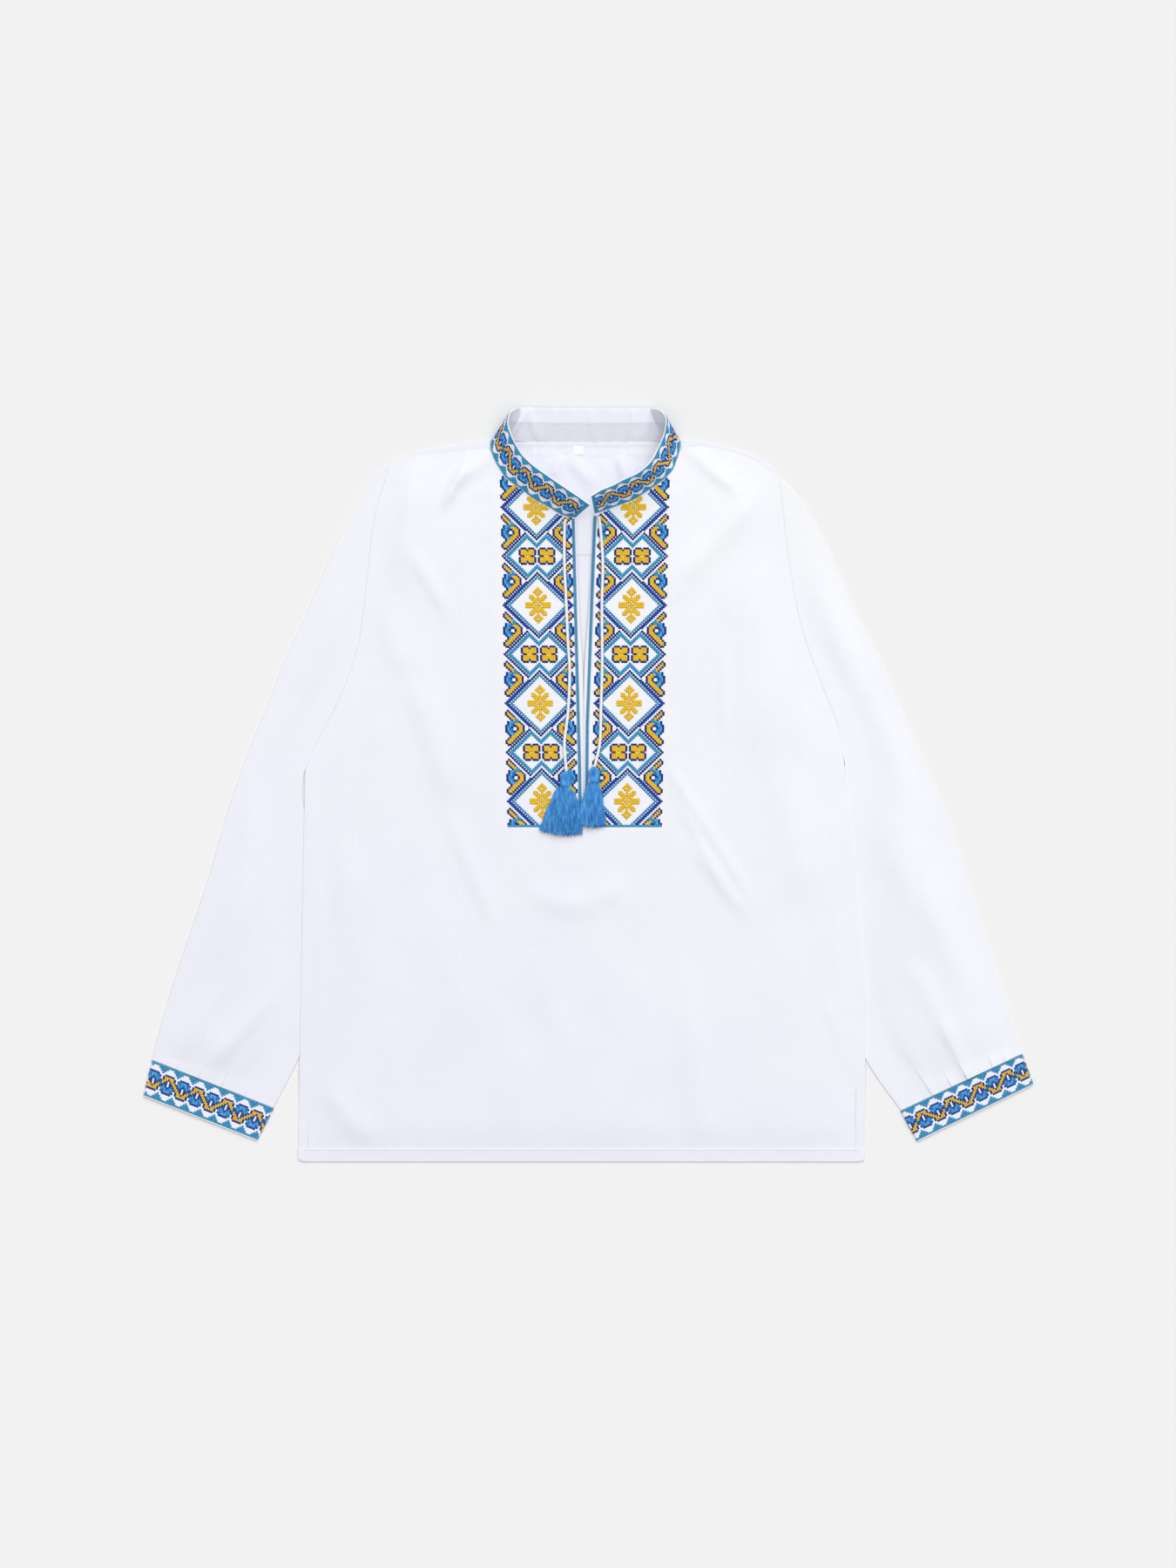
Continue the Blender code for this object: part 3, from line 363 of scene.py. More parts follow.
class FolkShirtSizes(bpy.types.PropertyGroup):
    """Sizes of the cloth, the stitches and the cords."""

    cloth_wall: bpy.props.FloatProperty(
        name="Cloth thickness", description="Thickness of the cotton", default=0.0005, unit="LENGTH", subtype="DISTANCE"
    )
    weave_pitch: bpy.props.FloatProperty(
        name="Weave pitch", description="From one yarn of the cloth to the next", default=0.0008, unit="LENGTH",
        subtype="DISTANCE",
    )
    thread_width: bpy.props.FloatProperty(
        name="Thread width", description="Width of a stitch's thread, as a share of its square", default=1.12,
        subtype="FACTOR", min=0.1, max=1.5,
    )
    cord_diameter: bpy.props.FloatProperty(
        name="Cord diameter", description="Diameter of the neck cords", default=0.003, unit="LENGTH", subtype="DISTANCE"
    )
    strand_width: bpy.props.FloatProperty(
        name="Strand width", description="Width of one strand of a tassel", default=0.00085, unit="LENGTH",
        subtype="DISTANCE",
    )
    strands: bpy.props.IntProperty(
        name="Strands", description="Strands in one tassel's skirt", default=230, min=10, max=400
    )


class FolkShirtColours(bpy.types.PropertyGroup):
    """Colours of the cloth and the threads."""

    cotton: bpy.props.FloatVectorProperty(
        name="Cotton", description="White cotton of the body and sleeves", default=(0.784, 0.79, 0.866),
        subtype="COLOR", size=3,
    )
    # The collar's cotton is painted lighter than the body's, to cancel the shade that falls on its steep standing band.
    collar: bpy.props.FloatVectorProperty(
        name="Collar", description="Bleached cotton of the collar's right side", default=(0.94, 0.945, 0.97),
        subtype="COLOR", size=3,
    )
    # The lower part of the collar's wrong side, below the turning, is given a darker blue-grey than the cotton.
    facing: bpy.props.FloatVectorProperty(
        name="Collar inside", description="Wrong side of the collar behind its stitches", default=(0.66, 0.68, 0.745),
        subtype="COLOR", size=3,
    )
    tape: bpy.props.FloatVectorProperty(
        name="Neck tape", description="Tape over the back neck seam", default=(0.79, 0.805, 0.86),
        subtype="COLOR", size=3,
    )
    tab: bpy.props.FloatVectorProperty(
        name="Size tab", description="Satin tab on the neck tape", default=(0.87, 0.88, 0.90), subtype="COLOR", size=3
    )
    navy: bpy.props.FloatVectorProperty(
        name="Navy thread", description="Dark blue thread", default=(0.012, 0.062, 0.420), subtype="COLOR", size=3
    )
    blue: bpy.props.FloatVectorProperty(
        name="Blue thread", description="Middle blue thread", default=(0.022, 0.240, 0.620), subtype="COLOR", size=3
    )
    teal: bpy.props.FloatVectorProperty(
        name="Teal thread", description="Blue-green thread", default=(0.050, 0.355, 0.640), subtype="COLOR", size=3
    )
    sky: bpy.props.FloatVectorProperty(
        name="Sky thread", description="Light blue thread", default=(0.110, 0.480, 0.860), subtype="COLOR", size=3
    )
    yellow: bpy.props.FloatVectorProperty(
        name="Yellow thread", description="Golden yellow thread", default=(1.0, 0.59, 0.018), subtype="COLOR", size=3
    )
    dark: bpy.props.FloatVectorProperty(
        name="Dark thread", description="Darkest blue thread, of the outlines", default=(0.006, 0.026, 0.260),
        subtype="COLOR", size=3,
    )
    slit: bpy.props.FloatVectorProperty(
        name="Slit thread", description="Thread of the satin lines beside the slit", default=(0.045, 0.330, 0.580),
        subtype="COLOR", size=3,
    )
    sewing: bpy.props.FloatVectorProperty(
        name="Sewing thread", description="Thread of the machine stitches", default=(0.74, 0.75, 0.83),
        subtype="COLOR", size=3,
    )
    tassel: bpy.props.FloatVectorProperty(
        name="Tassel yarn", description="Bright blue yarn of the tassels", default=(0.040, 0.310, 0.800),
        subtype="COLOR", size=3,
    )
    cord: bpy.props.FloatVectorProperty(
        name="Cord", description="White cotton of the neck cords", default=(0.86, 0.86, 0.88), subtype="COLOR", size=3
    )
    floor: bpy.props.FloatVectorProperty(
        name="Floor", description="Pale surface under the shirt", default=(0.80, 0.80, 0.80), subtype="COLOR", size=3
    )


def smooth(value):
    value = np.clip(value, 0.0, 1.0)
    return value * value * (3.0 - 2.0 * value)


def unit(vectors):
    """The same directions, one unit long."""
    return vectors / np.linalg.norm(vectors, axis=-1, keepdims=True)


def lengths(path):
    """Length along a path up to each of its points."""
    return np.concatenate([[0.0], np.cumsum(np.linalg.norm(np.diff(path, axis=0), axis=1))])


def at_lengths(path, places):
    """Points of a path at the given lengths along it."""
    run = lengths(path)
    return np.column_stack([np.interp(places, run, path[:, axis]) for axis in range(3)])


def along(table, place):
    """Rows of a table at places between its rows, on a smooth curve through all of them."""
    rows = np.array(table, dtype=float)
    last = len(rows) - 1
    place = np.clip(np.asarray(place, dtype=float), 0.0, last)
    index = np.minimum(place.astype(int), last - 1)
    share = (place - index)[..., None]
    before, start, end, after = (rows[np.clip(index + step, 0, last)] for step in (-1, 0, 1, 2))
    bend = 2 * before - 5 * start + 4 * end - after
    twist = 3 * (start - end) + after - before
    return start + 0.5 * share * (end - before + share * (bend + share * twist))


def smooth_line(runs):
    """Close points on a smooth curve through each run of spots, with a corner between runs."""
    return np.concatenate([along(run, np.linspace(0, len(run) - 1, 8 * (len(run) - 1) + 1)) for run in runs])


LINES = {
    "left edge": smooth_line(LEFT_EDGE), "right edge": smooth_line(RIGHT_EDGE),
    "slit left": smooth_line(SLIT_LEFT), "slit right": smooth_line(SLIT_RIGHT),
    "front top left": smooth_line(FRONT_TOP_LEFT), "front top right": smooth_line(FRONT_TOP_RIGHT),
    "back top left": smooth_line(BACK_TOP_LEFT), "back top right": smooth_line(BACK_TOP_RIGHT),
    "back middle": np.array([[CENTRE_X, 400.0], [CENTRE_X, -400.0]]),
}


def x_at(line, y):
    """The x of an upright line at height y."""
    points = LINES[line]
    return np.interp(-np.asarray(y, dtype=float), -points[:, 1], points[:, 0])


def y_at(line, x):
    """The y of a top edge at x."""
    points = LINES[line]
    return np.interp(x, points[:, 0], points[:, 1])


def fold_height(folds, x, y):
    """Soft ridges that fade at both ends, with one side steeper than the other."""
    height = np.zeros_like(np.asarray(x, dtype=float))
    for fold in folds:
        run_x = fold.x2 - fold.x1
        run_y = fold.y2 - fold.y1
        length = math.hypot(run_x, run_y)
        share = ((x - fold.x1) * run_x + (y - fold.y1) * run_y) / length**2
        off = ((x - fold.x1) * run_y - (y - fold.y1) * run_x) / length
        width = np.where(off > 0, fold.half_width * fold.lean, fold.half_width)
        ends = smooth((share + 0.25) / 0.5) * smooth((1.25 - share) / 0.5)
        height = height + fold.height * ends * np.exp(-((off / width) ** 2))
    return height


def ripple(x, y):
    """Slight unevenness of cloth that was washed and laid out."""
    slow = np.sin(x / 37.0 + 1.4 * np.sin(y / 71.0)) * np.sin(y / 61.0 + 0.9 * np.sin(x / 83.0))
    quick = np.sin(x / 13.0 + 1.7 * np.sin(y / 29.0) + y / 47.0) * np.sin(y / 19.0 + x / 33.0)
    return 0.55 * slow + 0.10 * quick


def over_sleeve(x, y):
    """How far the body is lifted where it lies on a sleeve's inner margin."""
    lift = np.zeros_like(np.asarray(x, dtype=float))
    for sections, inward in ((SLEEVE_LEFT, 1), (SLEEVE_RIGHT, -1)):
        margin = np.array([(row.inner_x, row.inner_y) for row in sections[UNDERARM_SECTION:-1]])
        top_y = margin[0, 1]
        low_y = margin[-1, 1]
        margin_x = np.interp(-np.clip(y, low_y, top_y), -margin[:, 1], margin[:, 0])
        across = 1.0 - smooth(((x - margin_x) * inward - 3.0) / SLEEVE_SLOPE)
        down = smooth((top_y + 46.0 - y) / 40.0) * smooth((y - low_y + 52.0) / 40.0)
        lift = np.maximum(lift, across * down)
    return (layers() + SEAM) * lift


def layers():
    """Height of two thicknesses of cloth and the room between them."""
    return 2 * wall() + SEAM


def wall():
    return bpy.context.scene.folk_shirt_sizes.cloth_wall / MM


def side_room(x, y):
    """Distance from the nearer side edge."""
    return np.minimum(x - x_at("left edge", y), x_at("right edge", y) - x)


def panel_marks(x, y):
    """Low steps in the front: its hem, its turned vent edges and the stiffening beside the strips."""
    room = side_room(x, y)
    hem = HEM_RISE * (1.0 - smooth((y - HEM_Y - HEM_DEPTH) / 0.9))
    hem += 0.12 * np.sin(x / 3.1 + 2.0 * np.sin(x / 17.0)) * np.exp(-(((y - HEM_Y - HEM_DEPTH) / 5.0) ** 2))
    vent_top = np.where(x > 0, VENT_TOPS["right"], VENT_TOPS["left"])
    vent = 0.25 * (1.0 - smooth((room - 10.0) / 1.0)) * smooth((vent_top - y) / 6.0)
    left = smooth((x + 95.0) / 1.2) * smooth((-83.0 - x) / 1.5) * smooth((288.5 - y) / 1.5)
    left = left * smooth((y + 40.0) / 170.0)
    inner = 79.0 + 11.5 * smooth((y - 196.0) / 90.0)
    right = smooth((inner - x) / 1.2) * smooth((x - 76.0) / 1.5) * smooth((289.0 - y) / 1.5)
    right = right * smooth((y - 190.0) / 20.0)
    edge = -0.2 * np.exp(-((np.maximum(room, 0.0) / 1.0) ** 2))
    return hem + vent + 0.5 * left + 0.5 * right + edge


def strip_ease(x, y):
    """The stiff embroidered strips lie smoother than the cloth round them."""
    inside = smooth((x + 88.0) / 10.0) * smooth((80.0 - x) / 10.0) * smooth((y + 50.0) / 14.0)
    return 1.0 - 0.85 * inside


def front_height(x, y):
    """Height of the front's right side."""
    inside = smooth(side_room(x, y) / LOFT_REACH) * smooth((y - HEM_Y + 4.0) / LOFT_REACH)
    shoulder = smooth((LEVEL_Y + 112.0 - y) / 60.0)
    folds = fold_height(FRONT_FOLDS, x, y) * (0.35 + 0.65 * shoulder) + ripple(x, y) * shoulder
    relief = LOFT * shoulder + strip_ease(x, y) * folds
    return layers() + over_sleeve(x, y) + np.maximum(inside * relief, 0.0) + panel_marks(x, y)


def object_from(name, points, faces, looks, uv=None, material_index=None):
    """A mesh object at the origin, from points in millimetres."""
    mesh = bpy.data.meshes.new(name)
    mesh.from_pydata((np.asarray(points, dtype=float) * MM).tolist(), [], [list(map(int, face)) for face in faces])
    for look in looks:
        mesh.materials.append(look)
    if material_index is not None:
        mesh.polygons.foreach_set("material_index", np.asarray(material_index, dtype=np.int32))
    if uv is not None:
        layer = mesh.uv_layers.new(name="cut")
        corners = np.empty(len(mesh.loops), dtype=np.int32)
        mesh.loops.foreach_get("vertex_index", corners)
        layer.data.foreach_set("uv", (np.asarray(uv, dtype=np.float32)[corners] * MM).ravel())
    mesh.shade_smooth()
    made = bpy.data.objects.new(name, mesh)
    bpy.context.scene.collection.objects.link(made)
    return made


def pick(thing):
    """Make one object the only selected one."""
    if bpy.context.mode != "OBJECT":
        bpy.ops.object.mode_set(mode="OBJECT")
    bpy.ops.object.select_all(action="DESELECT")
    bpy.context.view_layer.objects.active = thing
    thing.select_set(True)


def give_wall(cloth, thickness, inside_look=0):
    """Set a cloth's wall inwards from its right side."""
    solid = cloth.modifiers.new("wall", "SOLIDIFY")
    solid.thickness = thickness * MM
    solid.offset = -1.0
    solid.material_offset = inside_look
    pick(cloth)
    bpy.ops.object.modifier_apply(modifier=solid.name)
    bpy.ops.object.shade_smooth_by_angle(angle=math.radians(55))
    return cloth


def quads(index):
    """Faces over a grid of point numbers."""
    corners = (index[:-1, :-1], index[:-1, 1:], index[1:, 1:], index[1:, :-1])
    return np.stack([corner.ravel() for corner in corners], axis=1)


def finish_piece(piece, slot, *nodes):
    """Tie a finished piece to the body and hide the solids that it stands for."""
    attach(piece, "root")
    if nodes:
        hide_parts(*nodes)
    return piece


class Finish:
    """A procedural material, built node by node."""

    def __init__(self, name, colour, roughness, sheen=0.0):
        self.material = bpy.data.materials.new(name)
        self.material.use_nodes = True
        self.tree = self.material.node_tree
        self.shader = self.tree.nodes["Principled BSDF"]
        self.colour = tuple(colour)
        self.shader.inputs["Base Color"].default_value = (*colour, 1.0)
        self.shader.inputs["Roughness"].default_value = roughness
        self.shader.inputs["Sheen Weight"].default_value = sheen
        self.shader.inputs["Sheen Roughness"].default_value = 0.5
        self.shader.inputs["Specular IOR Level"].default_value = 0.25

    def node(self, kind, inputs=None, **settings):
        made = self.tree.nodes.new(kind)
        for name, value in settings.items():
            setattr(made, name, value)
        for name, value in (inputs or {}).items():
            if isinstance(value, bpy.types.NodeSocket):
                self.tree.links.new(value, made.inputs[name])
            else:
                made.inputs[name].default_value = value
        return made

    def place(self, scale, on_cut=False, turn=0.0, shift=0.0):
        """Coordinates from the object, or from the cut of the cloth."""
        if on_cut:
            source = self.node("ShaderNodeUVMap", uv_map="cut").outputs["UV"]
        else:
            source = self.node("ShaderNodeTexCoord").outputs["Object"]
        settings = {"Vector": source, "Scale": scale, "Rotation": (0.0, 0.0, turn), "Location": (shift, 0.0, 0.0)}
        return self.node("ShaderNodeMapping", settings).outputs["Vector"]

    def noise(self, where, scale=1.0, detail=3.0):
        return self.node("ShaderNodeTexNoise", {"Vector": where, "Scale": scale, "Detail": detail}).outputs["Fac"]

    def bands(self, where, direction):
        made = self.node(
            "ShaderNodeTexWave", {"Vector": where, "Scale": 1.0, "Distortion": 0.6, "Detail": 1.0},
            wave_type="BANDS", bands_direction=direction, wave_profile="SIN",
        )
        return made.outputs["Fac"]

    def combine(self, operation, first, second):
        made = self.node("ShaderNodeMath", operation=operation)
        for socket, value in zip(made.inputs, (first, second)):
            if isinstance(value, bpy.types.NodeSocket):
                self.tree.links.new(value, socket)
            else:
                socket.default_value = value
        return made.outputs["Value"]

    def tint(self, factor, dark, light):
        """Colour the surface between a darker and a lighter tone of its own colour."""
        ramp = self.node("ShaderNodeValToRGB", {"Fac": factor})
        ramp.color_ramp.elements[0].position = 0.3
        ramp.color_ramp.elements[1].position = 0.7
        for stop, share in zip(ramp.color_ramp.elements, (dark, light)):
            shares = share if isinstance(share, tuple) else (share,) * 3
            stop.color = (*(min(1.0, value * part) for value, part in zip(self.colour, shares)), 1.0)
        self.tree.links.new(ramp.outputs["Color"], self.shader.inputs["Base Color"])
        return ramp.outputs["Color"]

    def bump(self, height, strength, distance):
        made = self.node("ShaderNodeBump", {"Height": height, "Strength": strength, "Distance": distance})
        self.tree.links.new(made.outputs["Normal"], self.shader.inputs["Normal"])


def woven_finish(name, colour, pitch, contrast=0.02, depth=0.00006, turn=0.0, painted_light_falloff=False):
    """Plain-woven cotton with uneven yarns. Where asked for, a painted light falloff also makes the cloth lighter
    towards the upper right and darker towards the hem.
    """
    finish = Finish(name, colour, 0.82, sheen=0.12)
    lines = 2 * math.pi / (20 * pitch)
    where = finish.place((lines, lines, 1.0), on_cut=True, turn=turn)
    weave = finish.combine("ADD", finish.bands(where, "X"), finish.bands(where, "Y"))
    warp = finish.noise(finish.place((1500.0, 45.0, 1.0), on_cut=True, turn=turn), detail=1.0)
    weft = finish.noise(finish.place((45.0, 1500.0, 1.0), on_cut=True, turn=turn), detail=1.0)
    slubs = finish.combine("ADD", warp, weft)
    cloud = finish.noise(finish.place((14.0, 14.0, 14.0)), detail=4.0)
    tone = finish.combine("MULTIPLY", finish.combine("ADD", slubs, cloud), 0.333)
    if painted_light_falloff:
        # Painted light: a slow gradient, lighter towards the upper right and darker towards the hem, mixed with the
        # random tone of the yarns.
        across = finish.place((1.33, 1.33, 1.33), turn=-1.03, shift=0.43)
        fade = finish.node("ShaderNodeTexGradient", {"Vector": across}).outputs["Fac"]
        tone = finish.combine("ADD", finish.combine("MULTIPLY", fade, 0.4), finish.combine("MULTIPLY", tone, 0.6))
        finish.tint(tone, (0.968, 0.968, 0.975), (1.09, 1.095, 1.03))
    else:
        finish.tint(tone, 1.0 - contrast, 1.0 + contrast)
    finish.bump(finish.combine("ADD", weave, slubs), 0.55, depth)
    return finish.material


def thread_finish(name, colour, contrast=0.12, roughness=0.6):
    """Stranded embroidery cotton with a slight shine."""
    finish = Finish(name, colour, roughness, sheen=0.04)
    finish.shader.inputs["Specular IOR Level"].default_value = 0.22
    tone = finish.noise(finish.place((520.0, 520.0, 520.0)), detail=2.0)
    finish.tint(tone, 1.0 - contrast, 1.0 + contrast)
    strands = finish.bands(finish.place((900.0, 900.0, 900.0), turn=0.785), "X")
    finish.bump(strands, 0.35, 0.00008)
    return finish.material


def thread_finishes():
    """A finish for each embroidery thread, in the order of their letters."""
    colours = bpy.context.scene.folk_shirt_colours
    names = ("navy", "blue", "teal", "sky", "yellow", "dark")
    return [thread_finish("thread_" + name, getattr(colours, name)) for name in names]


def model_thread():
    """One short thread, flat below, fuller and bowed up in its middle: its points and its faces."""
    pick_none()
    quarter = math.pi / 2
    bpy.ops.mesh.primitive_cylinder_add(
        vertices=3, radius=0.577, depth=1.0, location=(0.0, 0.0, 0.0), rotation=(quarter, 0.0, quarter)
    )
    thread = bpy.context.object
    bpy.ops.object.transform_apply(location=False, rotation=True, scale=False)
    mesh = thread.data
    long_edges = [abs(mesh.vertices[a].co.x - mesh.vertices[b].co.x) > 0.5 for a, b in (e.vertices for e in mesh.edges)]
    choose(thread, "edges", long_edges)
    bpy.ops.object.mode_set(mode="EDIT")
    bpy.ops.mesh.subdivide(number_cuts=1)
    bpy.ops.object.mode_set(mode="OBJECT")
    choose(thread, "vertices", [abs(vertex.co.x) < 0.1 for vertex in mesh.vertices])
    bpy.ops.object.mode_set(mode="EDIT")
    bpy.ops.transform.translate(value=(0.0, 0.0, 0.35))
    bpy.ops.object.mode_set(mode="OBJECT")
    choose(thread, "vertices", [abs(vertex.co.x) > 0.4 for vertex in mesh.vertices])
    bpy.ops.object.mode_set(mode="EDIT")
    bpy.ops.transform.resize(value=(1.0, 0.6, 1.0))
    bpy.ops.object.mode_set(mode="OBJECT")
    points = np.array([vertex.co[:] for vertex in mesh.vertices])
    points[:, 2] -= points[:, 2].min()
    faces = [tuple(face.vertices) for face in mesh.polygons]
    bpy.data.objects.remove(thread, do_unlink=True)
    return points, faces


def pick_none():
    if bpy.context.mode != "OBJECT":
        bpy.ops.object.mode_set(mode="OBJECT")
    bpy.ops.object.select_all(action="DESELECT")


def choose(thing, kind, flags):
    """Select some of a mesh's points, edges or faces for the next step in edit mode."""
    pick(thing)
    modes = {"vertices": (True, False, False), "edges": (False, True, False), "polygons": (False, False, True)}
    bpy.context.tool_settings.mesh_select_mode = modes[kind]
    for layer in ("vertices", "edges", "polygons"):
        for part in getattr(thing.data, layer):
            part.select = False
    for part, flag in zip(getattr(thing.data, kind), flags):
        part.select = bool(flag)


def cross_stitch(thread, width):
    """Two threads crossed over a square of cloth, the upper one higher."""
    points, faces = thread
    placed = []
    half = math.sqrt(0.5)
    for turn, lift in ((-1, 0.0), (1, STITCH_LAP)):
        x = points[:, 0] * STITCH_LENGTH
        y = points[:, 1] * width
        z = points[:, 2] * STITCH_FULLNESS + lift
        placed.append(np.stack([(x - turn * y) * half, (turn * x + y) * half, z], axis=1))
    both = faces + [tuple(corner + len(points) for corner in face) for face in faces]
    return np.concatenate(placed), both


def stamp(name, template, frames, colour_numbers, looks):
    """Copy a stitch to every place, as one mesh with a material for each thread."""
    points, faces = template
    centre, across, down, up = frames
    placed = centre[:, None, :] + points[None, :, 0, None] * across[:, None, :]
    placed = placed + points[None, :, 1, None] * down[:, None, :] + points[None, :, 2, None] * up[:, None, :]
    starts = np.arange(len(centre)) * len(points)
    every = []
    numbers = []
    for size in (3, 4):
        chosen = np.array([face for face in faces if len(face) == size])
        if len(chosen):
            every += (starts[:, None, None] + chosen[None]).reshape(-1, size).tolist()
            numbers.append(np.repeat(colour_numbers, len(chosen)))
    return object_from(name, placed.reshape(-1, 3), every, looks, material_index=np.concatenate(numbers))


def stitch_frames(surface, u, v, step_u, step_v, turned=False):
    """Where each stitch lies on a surface: its centre, its sides and its upward direction."""
    centre = surface(u, v)
    across = surface(u + step_u / 2, v) - surface(u - step_u / 2, v)
    down = surface(u, v + step_v / 2) - surface(u, v - step_v / 2)
    up = np.cross(across, down) if turned else np.cross(down, across)
    pitch = np.linalg.norm(across, axis=1, keepdims=True)
    up = unit(up) * pitch
    if not turned:
        across, down = down, across
    return centre, across, down, up


def charted(chart, columns, rows):
    """Column, row and thread number of each stitch of a chart, without its bare squares."""
    column, row = (grid.ravel() for grid in np.meshgrid(columns, rows, indexing="ij"))
    letters = np.array([chart(int(c), int(r)) for c, r in zip(column, row)])
    kept = letters != "."
    return column[kept], row[kept], np.array([THREADS.index(letter) for letter in letters[kept]])


def strip_thread(column, row):
    """Thread of one stitch of a strip: column from its middle line, row down from the middle of a star."""
    a = abs(column)
    r = (row + HALF_REPEAT) % REPEAT_ROWS - HALF_REPEAT
    star = a + abs(r)
    lozenge = abs(a - 5) + HALF_REPEAT - abs(r)
    q = row % HALF_REPEAT
    if HOOK_START <= q < HOOK_START + len(HOOKS) and a >= max(21 - q, q - 6):
        hook = HOOKS[q - HOOK_START]
        from_edge = STRIP_COLUMNS - a
        return hook[from_edge] if from_edge < len(hook) else "."
    if lozenge <= 9:
        height = abs(row % REPEAT_ROWS - HALF_REPEAT)
        return FLOWER[4 - height][a - 1] if height <= 4 and 1 <= a <= 9 else "."
    if lozenge <= 12:
        return "tt."[lozenge - 10]
    if star <= 14:
        return STAR[9 - abs(r)][a + 6] if a <= 6 and abs(r) <= 9 else "."
    if star <= 16:
        return "t."[star - 15]
    if star <= 18 and a >= 5 and lozenge > 14:
        return "n"
    return "d" if star == 17 or (a >= 6 and lozenge == 13) else "."


def border_thread(column, row):
    """Thread of one stitch of the collar and cuff border: blooms along a wave, between two rows of triangles."""
    edge = min(row, BORDER_ROWS - 1 - row)
    if edge < TRIANGLE_ROWS:
        return "t" if edge == 0 or abs((column + 1) % 8 - 4) <= 3 - edge else "."
    place = (column + 1) % 16
    across = min(place, 16 - place)
    if across > 4:
        across = 8 - across
        row = BORDER_ROWS - 1 - row
    thread = BLOOM[row - TRIANGLE_ROWS][across]
    broken = (column - 19) % 40 in (0, 24)
    return "b" if thread == "y" and broken else thread


def body_grid(half, shares, top, corner, inner, middle, levels):
    """Points of half a body panel: a column for each share, from its top edge to its hem."""
    edge = half + " edge"
    top_x = inner[0] + (corner[0] - inner[0]) * shares
    top_y = y_at(top, top_x)
    level_x = x_at(middle, LEVEL_Y) + (x_at(edge, LEVEL_Y) - x_at(middle, LEVEL_Y)) * shares
    rows = []
    for row in range(TOP_ROWS):
        share = row / TOP_ROWS
        y = top_y + (LEVEL_Y - top_y) * share
        straight = corner[0] + (x_at(edge, LEVEL_Y) - corner[0]) * share
        bow = x_at(edge, corner[1] + (LEVEL_Y - corner[1]) * share) - straight
        rows.append(np.stack([top_x + (level_x - top_x) * share + bow * shares**2, y], axis=1))
    for y in levels:
        x = x_at(middle, y) + (x_at(edge, y) - x_at(middle, y)) * shares
        rows.append(np.stack([x, np.full_like(x, y)], axis=1))
    return np.stack(rows, axis=1)


def body_levels(step, hem_drop=0.0):
    """Heights of the level rows under the yoke, close together at the hem."""
    slit_rows = round((LEVEL_Y - SLIT_END_Y) / step)
    slit = np.linspace(LEVEL_Y, SLIT_END_Y, slit_rows + 1)
    skirt_rows = round((SLIT_END_Y - HEM_Y - HEM_DEPTH) / step)
    skirt = np.linspace(SLIT_END_Y, HEM_Y + HEM_DEPTH + 1.2, skirt_rows + 1)[1:]
    low = HEM_Y - hem_drop
    hem = [HEM_Y + HEM_DEPTH + 0.6, HEM_Y + HEM_DEPTH, HEM_Y + 9.0, HEM_Y + 5.0, low + 2.0, low + 0.8, low]
    return np.concatenate([slit, skirt, hem]), TOP_ROWS + slit_rows


def round_corners(grid, hem_y):
    """Pull the hem's corners in to a small round."""
    room = np.maximum(side_room(grid[..., 0], grid[..., 1]), 0.0)
    reach = 5.0
    low = smooth((hem_y + reach - grid[..., 1]) / reach)
    grid[..., 1] += low * (reach - np.minimum(room, reach)) ** 2 / reach * 0.6
    return grid


def close_to_edge(shares):
    """Columns with two more close to the side edge, where the cloth is turned."""
    return np.concatenate([[1.0, 0.9965, 0.991], shares[shares < 0.985]])


def make_front(context):
    """Front panel, open along the slit and joined below it."""
    sizes = context.scene.folk_shirt_sizes
    # The front's cotton carries the painted light falloff, lighter towards the upper right.
    look = woven_finish("front_cotton", context.scene.folk_shirt_colours.cotton, sizes.weave_pitch, painted_light_falloff=True)
    levels, closed_row = body_levels(GRID)
    columns = close_to_edge(np.linspace(1.0, 0.0, 72))
    left = body_grid(
        "left", columns, "front top left", FRONT_TOP_LEFT[0][0], FRONT_TOP_LEFT[-1][-1], "slit left", levels
    )
    right = body_grid(
        "right", columns[::-1], "front top right", FRONT_TOP_RIGHT[-1][-1], FRONT_TOP_RIGHT[0][0], "slit right", levels
    )
    grid = round_corners(np.concatenate([left, right]), HEM_Y)
    points = np.dstack([grid, front_height(grid[..., 0], grid[..., 1])])
    slit_room = np.abs(np.arange(len(grid)) - (len(left) - 0.5))[:, None] < 1
    open_rows = np.arange(grid.shape[1])[None, :] < closed_row
    points[..., 2] -= 0.35 * (slit_room & open_rows)
    index = np.arange(points.shape[0] * points.shape[1]).reshape(points.shape[:2])
    index[len(left), closed_row:] = index[len(left) - 1, closed_row:]
    faces = np.concatenate([quads(index[: len(left)]), quads(index[len(left):])])
    cloth = object_from("shirt_front", points.reshape(-1, 3), faces, [look], uv=grid.reshape(-1, 2))
    loose = np.zeros(len(cloth.data.vertices), dtype=bool)
    loose[np.setdiff1d(np.arange(len(loose)), np.unique(faces))] = True
    choose(cloth, "vertices", loose)
    bpy.ops.object.mode_set(mode="EDIT")
    bpy.ops.mesh.delete(type="VERT")
    bpy.ops.object.mode_set(mode="OBJECT")
    give_wall(cloth, wall())
    finish_piece(cloth, "white_cotton", "front")


